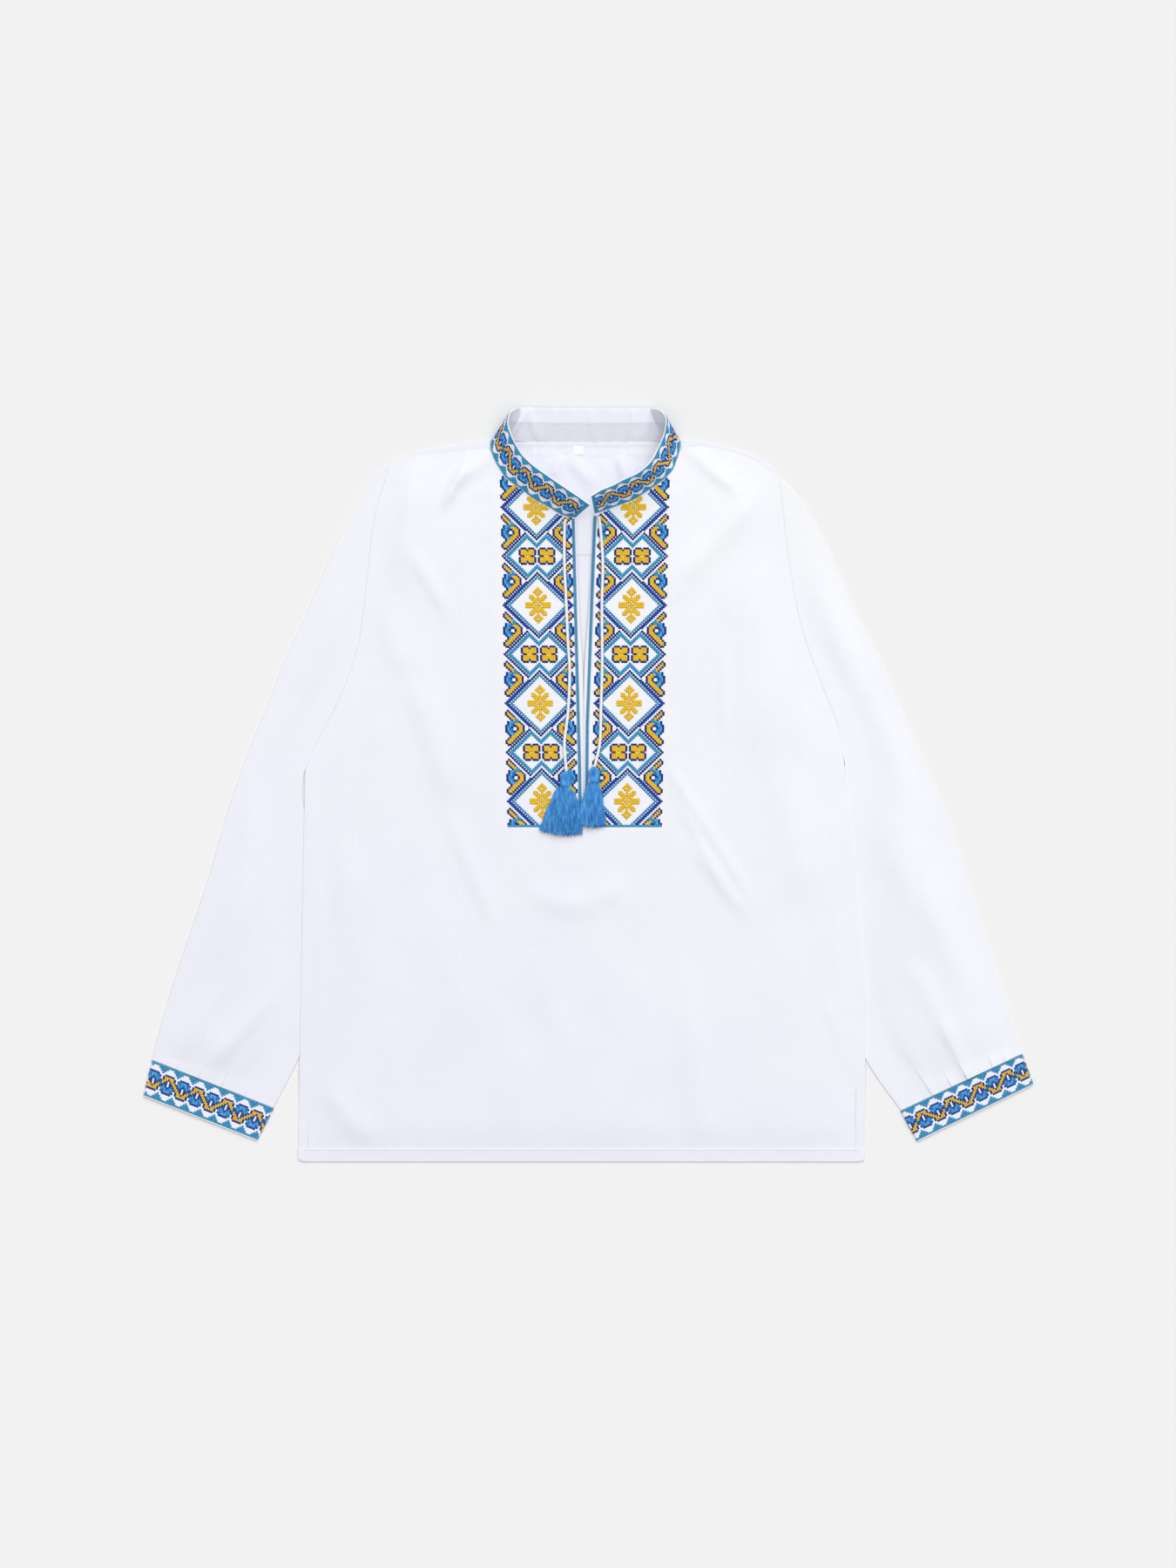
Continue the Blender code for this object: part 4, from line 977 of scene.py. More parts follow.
def back_lift(x, y):
    """The back follows the front's larger folds a little, and shows its own inside the neck."""
    inside = smooth(side_room(x, y) / LOFT_REACH) * smooth((y - HEM_Y + 4.0) / LOFT_REACH)
    under = smooth((250.0 - y) / 40.0)
    folds = fold_height(FRONT_FOLDS, x, y) + 0.6 + ripple(x, y)
    shared = 0.35 * np.maximum(inside * under * strip_ease(x, y) * folds, 0.0)
    neck = smooth((y - 262.0) / 14.0) * smooth((322.0 - y) / 5.0) * smooth((75.0 - np.abs(x + 2.0)) / 25.0)
    return shared + neck * np.maximum(fold_height(NECK_FOLDS, x, y) + 0.25 * ripple(x * 2.0, y * 2.0), 0.0)


def make_back(context):
    """Back panel: it lies on its right side and wraps over each shoulder to the front's seam."""
    sizes = context.scene.folk_shirt_sizes
    look = woven_finish("back_cotton", context.scene.folk_shirt_colours.cotton, sizes.weave_pitch)
    levels, _ = body_levels(GRID * 1.5, BACK_HEM_DROP)
    halves = []
    counts = []
    for half, front_inner, corner, end_share, neck_x in (
        ("left", FRONT_TOP_LEFT[-1][-1].x, BACK_TOP_LEFT[0][0], SHOULDER_END_LEFT, BACK_NECK_X[0]),
        ("right", FRONT_TOP_RIGHT[0][0].x, BACK_TOP_RIGHT[-1][-1], SHOULDER_END_RIGHT, BACK_NECK_X[1]),
    ):
        shoulder = close_to_edge(np.linspace(1.0, end_share, 24))
        x = np.concatenate([front_inner + (corner.x - front_inner) * shoulder, np.linspace(neck_x, CENTRE_X, 26)])
        shares = (x - CENTRE_X) / (corner.x - CENTRE_X)
        counts.append(len(shoulder))
        if half == "right":
            shares = shares[:-1][::-1]
        halves.append(body_grid(half, shares, "back top " + half, corner, Spot(CENTRE_X, 0.0), "back middle", levels))
    grid = round_corners(np.concatenate(halves), HEM_Y - BACK_HEM_DROP)
    height = over_sleeve(grid[..., 0], grid[..., 1]) + back_lift(grid[..., 0], grid[..., 1])
    points = np.dstack([grid, height])
    radius = layers() / 2
    folded = np.full((len(grid), FOLD_STEPS + 1, 3), np.nan)
    for number in [*range(counts[0]), *range(len(grid) - counts[1], len(grid))]:
        x, fold_y = grid[number, 0]
        seam_y = y_at("front top left" if number < counts[0] else "front top right", x) + 0.06
        centre_y = max(fold_y - radius, seam_y + 0.4)
        points[number, 0] = (x, centre_y, 0.0)
        turn = np.pi * np.arange(1, FOLD_STEPS + 1) / FOLD_STEPS
        folded[number, 1:, 0] = x
        folded[number, 1:, 1] = centre_y + radius * np.sin(turn)
        folded[number, 1:, 2] = radius - radius * np.cos(turn)
        folded[number, 0] = (x, seam_y, layers())
    order = [0, *range(FOLD_STEPS, 0, -1)]
    whole = np.concatenate([folded[:, order], points], axis=1)
    index = np.arange(whole.shape[0] * whole.shape[1]).reshape(whole.shape[:2])
    missing = np.isnan(whole[..., 0])
    faces = quads(index)[:, ::-1]
    faces = faces[~missing.ravel()[faces].any(axis=1)]
    used, faces = np.unique(faces, return_inverse=True)
    flat = whole.reshape(-1, 3)[used]
    cloth = object_from("shirt_back", flat, faces.reshape(-1, 4), [look], uv=flat[:, :2])
    give_wall(cloth, wall())
    finish_piece(cloth, "white_cotton", "back")


def pleat_height(pleats, across, from_cuff, width):
    """A pleat rises slowly to its fold and drops beside it."""
    height = np.zeros_like(across)
    for pleat in pleats:
        off = (across - pleat.across) * width
        rise = pleat.height * (1.0 + off / pleat.width) * smooth(1.2 - from_cuff / pleat.length)
        height += np.where((off >= -pleat.width) & (off <= 0.0), rise, 0.0)
    return height


def sleeve_faces(counts, flat, sign):
    """Faces from each ring of a sleeve to the next. Rings of more than flat points are closed."""
    starts = np.concatenate([[0], np.cumsum(counts)])
    faces = []
    for number, count in enumerate(counts[:-1]):
        step = np.arange(count if count > flat else flat - 1)
        follow = (step + 1) % count
        here, there = starts[number], starts[number + 1]
        quad = np.stack([here + step, here + follow, there + follow, there + step], axis=1)
        faces.append(quad if sign > 0 else quad[:, ::-1])
    return np.concatenate(faces)


def make_sleeve(context, side):
    """A flattened tube of cloth, open at the armhole and at the cuff."""
    pitch = context.scene.folk_shirt_sizes.weave_pitch
    # The sleeve's cotton carries the painted light falloff, lighter towards the upper right.
    look = woven_finish("sleeve_cotton_" + side, context.scene.folk_shirt_colours.cotton, pitch, painted_light_falloff=True)
    sections, folds, pleats, sign = {
        "left": (SLEEVE_LEFT, LEFT_SLEEVE_FOLDS, LEFT_SLEEVE_PLEATS, -1),
        "right": (SLEEVE_RIGHT, RIGHT_SLEEVE_FOLDS, RIGHT_SLEEVE_PLEATS, 1),
    }[side]
    extra = [pleat.across + step for pleat in pleats for step in (-0.001, 0.006)]
    shares = np.unique(np.concatenate([np.linspace(0.0, 1.0, 50), extra]))
    low_shares = np.linspace(0.0, 1.0, 18)
    rows = (len(sections) - 1) * SLEEVE_ROWS_PER_SECTION
    closed_row = UNDERARM_SECTION * SLEEVE_ROWS_PER_SECTION
    end_spot = np.array([sections[-1].inner_x, sections[-1].inner_y])
    radius_full = layers() / 2
    turn = np.pi * np.arange(1, FOLD_STEPS) / FOLD_STEPS
    rise = radius_full - radius_full * np.cos(turn)
    rings = []
    uvs = []
    length = 0.0
    last_outer = None
    places = np.concatenate([np.arange(rows - 2), rows - np.array([2.0, 1.45, 1.3, 0.9, 0.45, 0.0])])
    for place in places:
        outer_x, outer_y, inner_x, inner_y = along(sections, place / SLEEVE_ROWS_PER_SECTION)
        if place < closed_row:
            inner_x = x_at(side + " edge", inner_y) + sign * 0.12
        outer = np.array([outer_x, outer_y])
        if last_outer is not None:
            length += np.linalg.norm(outer - last_outer)
        last_outer = outer
        run = np.array([inner_x, inner_y]) - outer
        width = np.linalg.norm(run)
        run = run / width
        radius = min(radius_full, width * 0.4)
        from_cuff = np.linalg.norm(np.array([inner_x, inner_y]) - end_spot)
        closed = place >= closed_row
        inner_end = width - radius if closed else width
        off = radius + (inner_end - radius) * shares
        x, y = (outer[:, None] + run[:, None] * off)
        start = PUFF_START * smooth((place - closed_row + 30.0) / 30.0)
        room = smooth(off / PUFF_REACH) * smooth((width - off - start) / PUFF_REACH)
        ends = smooth(place / 36.0) * (0.2 + 0.8 * smooth(from_cuff / 64.0))
        lift = room * (ends * SLEEVE_PUFF + fold_height(folds, x, y) + ends * ripple(x * 1.2, y * 1.2))
        lift += pleat_height(pleats, shares, from_cuff, width) * np.minimum(1.0, room * 4.0)
        lift += 0.6 * smooth((14.0 - from_cuff) / 1.5) * np.minimum(1.0, room * 6.0)
        if not closed:
            lift -= 0.12 * np.exp(-(((width - off) / 1.0) ** 2))
        top = np.stack([x, y, layers() + np.maximum(lift, -0.5)], axis=1)
        low_off = radius + (inner_end - radius) * low_shares
        low_x, low_y = (outer[:, None] + run[:, None] * low_off)
        hollow = 0.3 * room.mean() * np.maximum(ripple(low_x * 1.3, low_y * 1.3), 0.0) * smooth(low_off / 30.0)
        low = np.stack([low_x, low_y, hollow * smooth((width - low_off) / 30.0)], axis=1)[::-1]
        fold_x, fold_y = (outer[:, None] + run[:, None] * (radius - radius * np.sin(turn)))
        outer_fold = np.stack([fold_x, fold_y, rise], axis=1)
        fold_x, fold_y = (outer[:, None] + run[:, None] * (inner_end + radius * np.sin(turn)))
        inner_fold = np.stack([fold_x, fold_y, layers() - rise], axis=1)
        ring = np.concatenate([low, outer_fold, top, inner_fold] if closed else [low, outer_fold, top])
        uvs.append(np.stack([lengths(ring), np.full(len(ring), length)], axis=1))
        rings.append(ring)
    faces = sleeve_faces([len(ring) for ring in rings], len(shares) + len(low_shares) + FOLD_STEPS - 1, sign)
    cloth = object_from("sleeve_cloth_" + side, np.concatenate(rings), faces, [look], np.concatenate(uvs))
    give_wall(cloth, wall())
    finish_piece(cloth, "white_cotton", "sleeve_" + side)


def cuff_surface(corners):
    """The cuff's right side as a function of the share round it and the share down it."""

    def surface(u, v):
        top, low = (np.array(corner, dtype=float) for corner in corners)
        section = top + (low - top) * np.asarray(v, dtype=float)[..., None]
        outer = section[..., :2]
        run = section[..., 2:] - outer
        width = np.linalg.norm(run, axis=-1)
        run = run / width[..., None]
        radius = CUFF_THICKNESS / 2
        flat = width - 2 * radius
        around = 2 * flat + 2 * math.pi * radius
        place = (np.asarray(u, dtype=float) % 1.0) * around
        arc = math.pi * radius
        off = np.select(
            [place < flat, place < flat + arc, place < 2 * flat + arc],
            [
                radius + place,
                radius + flat + radius * np.sin((place - flat) / radius),
                radius + flat - (place - flat - arc),
            ],
            radius - radius * np.sin((place - 2 * flat - arc) / radius),
        )
        height = np.select(
            [place < flat, place < flat + arc, place < 2 * flat + arc],
            [
                np.full_like(place, CUFF_THICKNESS),
                radius + radius * np.cos((place - flat) / radius),
                np.zeros_like(place),
            ],
            radius - radius * np.cos((place - 2 * flat - arc) / radius),
        )
        spot = outer + run * off[..., None]
        return np.concatenate([spot, (height + CUFF_FLOOR)[..., None]], axis=-1)

    return surface


def make_cuff(context, side, stitch, threads):
    """A straight band folded flat, with its border stitched all round."""
    pitch = context.scene.folk_shirt_sizes.weave_pitch
    look = woven_finish("cuff_cotton_" + side, context.scene.folk_shirt_colours.cotton, pitch)
    surface = cuff_surface(CUFF_LEFT if side == "left" else CUFF_RIGHT)
    down_shares = np.array([0.0, 0.02, 0.25, 0.5, 0.75, 0.97, 1.0])
    u, v = np.meshgrid(np.linspace(0.0, 1.0, 161)[:-1], down_shares, indexing="ij")
    points = surface(u, v)
    index = np.arange(u.size).reshape(u.shape)
    index = np.concatenate([index, index[:1]])
    faces = quads(index) if side == "left" else quads(index)[:, ::-1]
    uv = np.stack([u.ravel() * 240, v.ravel() * 35], 1)
    cloth = object_from("cuff_cloth_" + side, points.reshape(-1, 3), faces, [look], uv)
    give_wall(cloth, 0.5)
    finish_piece(cloth, "stitched_cotton", "cuff_" + side)
    ring = surface(np.linspace(0.0, 1.0, 400), np.full(400, 0.5))
    count = int(round(lengths(ring)[-1] / BORDER_PITCH))
    columns = np.arange(count) - CUFF_BORDER_SHIFT
    column, row, numbers = charted(border_thread, columns, np.arange(BORDER_ROWS))
    step_v = CUFF_BORDER_HEIGHT / BORDER_ROWS
    u = (column + CUFF_BORDER_SHIFT + 0.5) / count
    v = CUFF_BORDER_START + (row + 0.5) * step_v
    centre, across, down, up = stitch_frames(surface, u, v, 1.0 / count, step_v, turned=side == "right")
    frames = (centre, across * CUFF_STITCH_SHARE, down * CUFF_STITCH_SHARE, up)
    finish_piece(stamp("cuff_border_" + side, stitch, frames, numbers, threads), "stitched_cotton")


def collar_places(count):
    """Places along the collar at even steps of its length."""
    fine = np.linspace(0.0, len(COLLAR) - 1, 600)
    bands = along(COLLAR, fine)
    middle = (bands[:, :2] + bands[:, 2:]) / 2
    length = lengths(middle)
    return np.interp(np.linspace(0.0, length[-1], count), length, fine), length[-1]


def collar_back_share(place):
    """How much of the band lies on the surface at a place: 1 behind the neck and 0 at its sides."""
    left_start, left_end, right_start, right_end = COLLAR_BACK
    left = smooth((place - left_start) / (left_end - left_start))
    return left * smooth((right_end - place) / (right_end - right_start))


def collar_point(place, share):
    """A point of the collar's right side: place along the band, share of its height."""
    band = along(COLLAR, place)
    base = band[..., :2]
    reach = np.linalg.norm(band[..., 2:] - base, axis=-1)
    rise = np.maximum(COLLAR_BACK_TOP, np.sqrt(np.maximum(0.0, COLLAR_HEIGHT**2 - reach**2)))
    lying = collar_back_share(place)
    on_front = front_height(band[..., 0], np.minimum(band[..., 1], LEVEL_Y + 106.0)) + SEAM + 0.6
    base_z = on_front * (1.0 - lying) + COLLAR_BACK_LIFT * lying
    spot = base + (band[..., 2:] - base) * share[..., None]
    crease = np.zeros_like(share)
    for centre, lean, height, width in COLLAR_CREASES:
        off = (place - centre - lean * (share - 0.5)) / width
        crease += height * np.exp(-(off**2)) * smooth(share * 5.0) * smooth((1.02 - share) * 6.0)
    wave = 0.35 * np.sin(place * 3.1) * share * (1.0 - lying)
    z = base_z + rise * share + crease * lying + wave
    return np.concatenate([spot, z[..., None]], axis=-1)


def make_collar(context, stitch, threads):
    """Stand collar with its border stitched along the right side."""
    scene = context.scene
    pitch = scene.folk_shirt_sizes.weave_pitch
    # The collar's cotton is painted lighter than the body's, against the shade on its standing band.
    look = woven_finish("collar_cotton", scene.folk_shirt_colours.collar, pitch)
    facing = woven_finish("collar_wrong_side", scene.folk_shirt_colours.facing, pitch, contrast=0.05)
    turning = woven_finish("collar_turning", scene.folk_shirt_colours.cotton, pitch)
    places, length = collar_places(321)
    shares = np.array([0.0, 0.06, 0.14, 0.24, 0.34, 0.44, 0.50, 0.53, 0.55, 0.57, 0.66, 0.78, 0.90, 0.97, 1.0])
    place, share = np.meshgrid(places, shares, indexing="ij")
    outer = collar_point(place, share)
    normal = unit(np.cross(np.gradient(outer, axis=0), np.gradient(outer, axis=1)))
    thick = 0.95 + 0.35 * smooth((share - 0.54) / 0.02) - 0.4 * np.exp(-((1.0 - share) / 0.02) ** 2)
    inner = outer + normal * thick[..., None]
    count = outer.shape[0] * outer.shape[1]
    index = np.arange(count).reshape(outer.shape[:2])
    out_faces = quads(index)
    in_faces = quads(index + count)[:, ::-1]
    rim = []
    for line in (index[:, 0], index[::-1, -1], index[-1, :], index[0, ::-1]):
        rim.append(np.stack([line[:-1], line[1:], line[1:] + count, line[:-1] + count], axis=1))
    faces = np.concatenate([out_faces, in_faces, *rim])
    row_of_face = np.tile(np.arange(len(shares) - 1), len(places) - 1)
    inner_numbers = np.where(shares[row_of_face] >= COLLAR_TURNING_SHARE, 2, 1)
    numbers = np.concatenate([np.zeros(len(out_faces)), inner_numbers, np.zeros(sum(len(part) for part in rim))])
    along_uv = np.arange(len(places)) * length / len(places)
    uv = np.stack([np.tile(along_uv[:, None], (1, len(shares))), share * COLLAR_HEIGHT], -1)
    cloth = object_from(
        "collar_cloth", np.concatenate([outer.reshape(-1, 3), inner.reshape(-1, 3)]), faces, [look, facing, turning],
        np.concatenate([uv.reshape(-1, 2)] * 2), numbers,
    )
    pick(cloth)
    bpy.ops.object.mode_set(mode="EDIT")
    bpy.ops.mesh.select_all(action="SELECT")
    bpy.ops.mesh.normals_make_consistent(inside=False)
    bpy.ops.object.mode_set(mode="OBJECT")
    bpy.ops.object.shade_smooth_by_angle(angle=math.radians(50))
    finish_piece(cloth, "stitched_cotton", "collar")

    columns = int(round(length / COLLAR_BORDER_PITCH))
    even, _ = collar_places(8 * columns + 1)

    def surface(u, v):
        return collar_point(np.interp(u * 8 * columns, np.arange(8 * columns + 1), even), v)

    def chart(column, row):
        at_end = column <= 1 or column >= columns - 2
        return "t" if at_end else border_thread(column, row)

    column, row, numbers = charted(chart, np.arange(columns), np.arange(BORDER_ROWS))
    step_v = COLLAR_BORDER_HEIGHT / BORDER_ROWS
    v = COLLAR_BORDER_TOP - (row + 0.5) * step_v
    centre, across, down, up = stitch_frames(surface, (column + 0.5) / columns, v, 1.0 / columns, step_v)
    frames = (centre, across, down, up * away_from_neck(centre, up))
    finish_piece(stamp("collar_border", stitch, frames, numbers, threads), "stitched_cotton")


def away_from_neck(centre, up):
    """A sign for each stitch of the collar: 1 where its upward direction leads away from the neck, else -1."""
    away = centre[:, :2] - np.array(NECK_MIDDLE)
    side = np.sign((up[:, :2] * away).sum(axis=1))
    return np.where(side == 0, 1.0, side)[:, None]


def make_strip(side, stitch, threads):
    """Embroidered strip beside the slit."""
    (top_x, top_y), (low_x, low_y) = STRIP_AXES[side]

    def surface(u, v):
        y = STAR_Y - v * STRIP_ROW_PITCH
        x = top_x + (low_x - top_x) * (top_y - y) / (top_y - low_y) + u * STRIP_COLUMN_PITCH
        return np.stack([x, y, front_height(x, y)], axis=-1)

    def chart(column, row):
        return "t" if row == last_row else strip_thread(column, row)

    last_row = int((STAR_Y - SLIT_END_Y) / STRIP_ROW_PITCH)
    columns = np.arange(-STRIP_COLUMNS, STRIP_COLUMNS + 1)
    column, row, numbers = charted(chart, columns, np.arange(STRIP_FIRST_ROW, last_row + 1))
    spots = surface(column.astype(float), row.astype(float))
    kept = spots[:, 1] < y_at("front top " + side, spots[:, 0]) - 1.2
    frames = stitch_frames(surface, column[kept].astype(float), row[kept].astype(float), 1.0, 1.0)
    strip = stamp("embroidered_strip_" + side, stitch, frames, numbers[kept], threads)
    finish_piece(strip, "stitched_cotton")


def make_slit_line(side, thread, look):
    """Close satin stitches along an edge of the slit."""
    spots = np.array(SLIT_LINES[side])
    y = np.arange(spots[0, 1], spots[-1, 1], -SLIT_STITCH_PITCH)
    x = np.interp(-y, -spots[:, 1], spots[:, 0])
    centre = np.stack([x, y, front_height(x, y)], axis=1)
    across, down, up = (np.tile(axis, (len(x), 1)) for axis in np.diag(SLIT_STITCH))
    line = stamp("slit_line_" + side, thread, (centre, across, down, up), np.zeros(len(x), dtype=int), [look])
    finish_piece(line, "stitched_cotton")


def tube(path, radius, sides, turns=0.0, lobes=0, depth=0.0):
    """Points and faces of a closed tube along a path that stays nearly level."""
    path = np.asarray(path, dtype=float)
    tangent = unit(np.gradient(path, axis=0))
    aside = unit(np.cross(tangent, np.array([0.0, 0.0, 1.0])))
    above = np.cross(aside, tangent)
    angle = 2 * np.pi * np.arange(sides) / sides
    spin = np.tile(angle, (len(path), 1))
    twist = turns * lengths(path)[:, None]
    lobe = 1.0 - depth + depth * np.abs(np.cos(lobes / 2 * (spin - twist))) if lobes else 1.0
    size = np.broadcast_to(np.asarray(radius, dtype=float), (len(path),))[:, None] * lobe
    ring = path[:, None, :] + (size * np.cos(spin))[..., None] * aside[:, None, :]
    ring = ring + (size * np.sin(spin))[..., None] * above[:, None, :]
    index = np.arange(len(path) * sides).reshape(len(path), sides)
    index = np.concatenate([index, index[:, :1]], axis=1)
    faces = quads(index).tolist()
    faces.append(list(range(sides)))
    faces.append(list(range((len(path) - 1) * sides, len(path) * sides))[::-1])
    return ring.reshape(-1, 3), faces


def joined(parts):
    """Points and faces of several shapes as one."""
    points = []
    faces = []
    start = 0
    for part_points, part_faces in parts:
        points.append(part_points)
        faces += [[corner + start for corner in face] for face in part_faces]
        start += len(part_points)
    return np.concatenate(points), faces


def cord_path(context, side):
    """Centre line of a cord, from under the collar into its tassel's head."""
    route = CORD_LEFT if side == "left" else CORD_RIGHT
    tassel = TASSELS[0 if side == "left" else 1]
    radius = context.scene.folk_shirt_sizes.cord_diameter / MM / 2
    spots = along(route, np.linspace(0, len(route) - 1, 220))
    down = unit(np.array([tassel.foot_x - tassel.head_x, tassel.foot_y - tassel.head_y]))
    spots = np.concatenate([spots, spots[-1] + down * np.linspace(1.0, CORD_IN_HEAD, 8)[:, None]])
    z = front_height(spots[:, 0], spots[:, 1]) + STITCH_ALLOWANCE + radius
    path = np.column_stack([spots, z])
    length = lengths(path)[-1]
    return at_lengths(path, np.linspace(0.0, length, int(length / CORD_STEP))), length


def make_cord(context, side):
    """Three-ply twisted cord."""
    radius = context.scene.folk_shirt_sizes.cord_diameter / MM / 2
    finish = Finish("cord_cotton_" + side, context.scene.folk_shirt_colours.cord, 0.75, sheen=0.3)
    finish.tint(finish.noise(finish.place((700.0, 700.0, 700.0)), detail=3.0), 0.93, 1.04)
    finish.bump(finish.bands(finish.place((420.0, 420.0, 420.0), turn=0.6), "X"), 0.4, 0.00012)
    path, length = cord_path(context, side)
    points, faces = tube(path, radius, 12, turns=1.15, lobes=3, depth=0.22)
    cord = object_from("neck_cord_" + side, points, faces, [finish.material])
    finish_piece(cord, "cord_cotton", "cord_" + side)


def scatter(number):
    """A fixed share between 0 and 1 that looks random from one number to the next."""
    value = math.sin(number * 12.9898) * 43758.5453
    return value - math.floor(value)


def make_tassel(context, tassel):
    """A wound head over a skirt of crimped strands."""
    sizes = context.scene.folk_shirt_sizes
    finish = Finish("tassel_yarn_" + tassel.side, context.scene.folk_shirt_colours.tassel, 0.65, sheen=0.12)
    # The noise tints the yarn from a darker blue to a pale blue: partly random tone of the yarn, partly painted
    # highlights on the strands.
    finish.tint(finish.noise(finish.place((420.0, 110.0, 420.0)), detail=3.0), (0.5, 0.68, 0.82), (3.2, 1.6, 1.14))
    finish.bump(finish.bands(finish.place((1100.0, 1100.0, 1100.0), turn=0.4), "X"), 0.4, 0.0001)
    run = np.array([tassel.foot_x - tassel.head_x, tassel.foot_y - tassel.head_y])
    length = np.linalg.norm(run)
    down = run / length
    aside = np.array([down[1], -down[0]])
    floor = float(front_height(np.array(tassel.head_x), np.array(tassel.head_y))) + STITCH_ALLOWANCE
    centre_z = floor + TASSEL_HEAD_HEIGHT / 2
    strand = sizes.strand_width / MM / 2

    def place(along_by, aside_by):
        x = tassel.head_x + down[0] * along_by + aside[0] * aside_by
        y = tassel.head_y + down[1] * along_by + aside[1] * aside_by
        return x, y

    parts = [ball(tassel, place, centre_z)]
    for turn in np.linspace(0.06 * np.pi, 0.94 * np.pi, 17):
        share = np.linspace(0.03, 0.97, 9)
        bulge = np.sin(np.pi * share) ** 0.55
        x, y = place(share * (tassel.head_length - 2.0), np.cos(turn) * (tassel.head_half - 0.2) * bulge)
        z = centre_z + np.sin(turn) * (TASSEL_HEAD_HEIGHT / 2 - 0.35) * bulge
        parts.append(tube(np.column_stack([x, y, z]), strand * 0.9, 3))
    turn = np.linspace(0.0, 2 * np.pi, 25)
    for ring in range(BINDING_RINGS):
        x, y = place(tassel.head_length - 2.6 + ring * BINDING_PITCH, np.cos(turn) * 3.7)
        parts.append(wrap(np.column_stack([x, y, centre_z + np.sin(turn) * 2.4]), 0.5, down))
    neck = tassel.head_length - 0.4
    station = np.linspace(0.0, 1.0, 12)
    spread = TASSEL_NECK_HALF + (tassel.foot_half - TASSEL_NECK_HALF) * station**0.54
    bow = tassel.bow * np.sin(np.pi * station) * 0.6
    for number in range(sizes.strands):
        layer = (number + 0.5) / sizes.strands
        across = 2.0 * ((number * GOLDEN_STEP) % 1.0) - 1.0
        wobble = scatter(number)
        reach = (length - neck) * (0.94 + 0.075 * wobble - 0.06 * across**2)
        crimp = 0.55 * np.sin(station * (13.0 + 5.0 * wobble) + number * 2.4) * smooth(station * 3.0)
        x, y = place(neck + reach * station, 0.95 * across * spread + crimp + bow * 0.5)
        lying = front_height(x, y) + STITCH_ALLOWANCE + strand + layer * TASSEL_DEPTH * (1.0 - 0.45 * across**2)
        start = centre_z + (layer * 2.0 - 1.0) * 1.9
        z = start + (lying - start) * smooth(station * 1.7) + 0.35 * np.sin(station * 15.0 + number) * station
        parts.append(tube(np.column_stack([x, y, z]), strand * (1.0 - 0.35 * station**6), 3))
    points, faces = joined(parts)
    made = object_from("neck_tassel_" + tassel.side, points, faces, [finish.material])
    return finish_piece(made, "tassel_yarn", "tassel_" + tassel.side)


def ball(tassel, place, centre_z):
    """The head's padded core, pulled in where the cord enters and where it is bound."""
    pick_none()
    bpy.ops.mesh.primitive_uv_sphere_add(segments=20, ring_count=12, radius=1.0, location=(0.0, 0.0, 0.0))
    core = bpy.context.object
    choose(core, "vertices", [vertex.co.z < -0.6 for vertex in core.data.vertices])
    bpy.ops.object.mode_set(mode="EDIT")
    bpy.ops.transform.resize(value=(1.25, 1.25, 1.0))
    bpy.ops.object.mode_set(mode="OBJECT")
    shape = np.array([vertex.co[:] for vertex in core.data.vertices])
    faces = [list(face.vertices) for face in core.data.polygons]
    bpy.data.objects.remove(core, do_unlink=True)
    half = tassel.head_length / 2
    x, y = place(half - shape[:, 2] * half, shape[:, 0] * (tassel.head_half - 0.35))
    return np.column_stack([x, y, centre_z + shape[:, 1] * (TASSEL_HEAD_HEIGHT / 2 - 0.5)]), faces


def wrap(path, radius, down):
    """One turn of the binding, a closed ring round the tassel."""
    sides = 6
    count = len(path) - 1
    centre = path[:-1].mean(axis=0)
    outward = unit(path[:-1] - centre)
    length = np.array([down[0], down[1], 0.0])
    angle = 2 * np.pi * np.arange(sides) / sides
    ring = path[:-1][:, None, :] + radius * np.cos(angle)[None, :, None] * outward[:, None, :]
    ring = ring + radius * np.sin(angle)[None, :, None] * length[None, None, :]
    index = np.arange(count * sides).reshape(count, sides)
    index = np.concatenate([index, index[:, :1]], axis=1)
    index = np.concatenate([index, index[:1]], axis=0)
    return ring.reshape(-1, 3), quads(index).tolist()


def make_flat_piece(name, corners, low, thickness, look, step=1.6, relief=None):
    """A small straight piece with rounded corners and its stitched edges drawn down."""
    left, top, right, bottom = corners
    x, y = np.meshgrid(
        np.linspace(left, right, max(6, int((right - left) / step))),
        np.linspace(top, bottom, max(6, int((top - bottom) / step))), indexing="ij",
    )
    room = np.minimum(np.minimum(x - left, right - x), np.minimum(top - y, y - bottom))
    z = low + thickness * (0.72 + 0.28 * smooth(room / 1.4))
    if relief is not None:
        z = z + relief(x, y)
    index = np.arange(x.size).reshape(x.shape)
    points = np.stack([x, y, z], axis=-1).reshape(-1, 3)
    cloth = object_from(name, points, quads(index), [look], uv=points[:, :2])
    return give_wall(cloth, thickness * 0.7)


def running_stitches(name, thread, x, y, look):
    """A line of machine stitches along a path on the front."""
    path = np.column_stack([x, y, front_height(x, y)])
    even = np.arange(SEWING_PITCH / 2, lengths(path)[-1], SEWING_PITCH)
    centre = at_lengths(path, even)
    tangent = unit(at_lengths(path, even + 0.5) - at_lengths(path, even - 0.5))
    up = np.tile([0.0, 0.0, 1.0], (len(centre), 1))
    length, width, height = SEWING_STITCH
    frames = (centre, tangent * length, np.cross(up, tangent) * width, up * height)
    finish_piece(stamp(name, thread, frames, np.zeros(len(centre), dtype=int), [look]), "white_cotton")


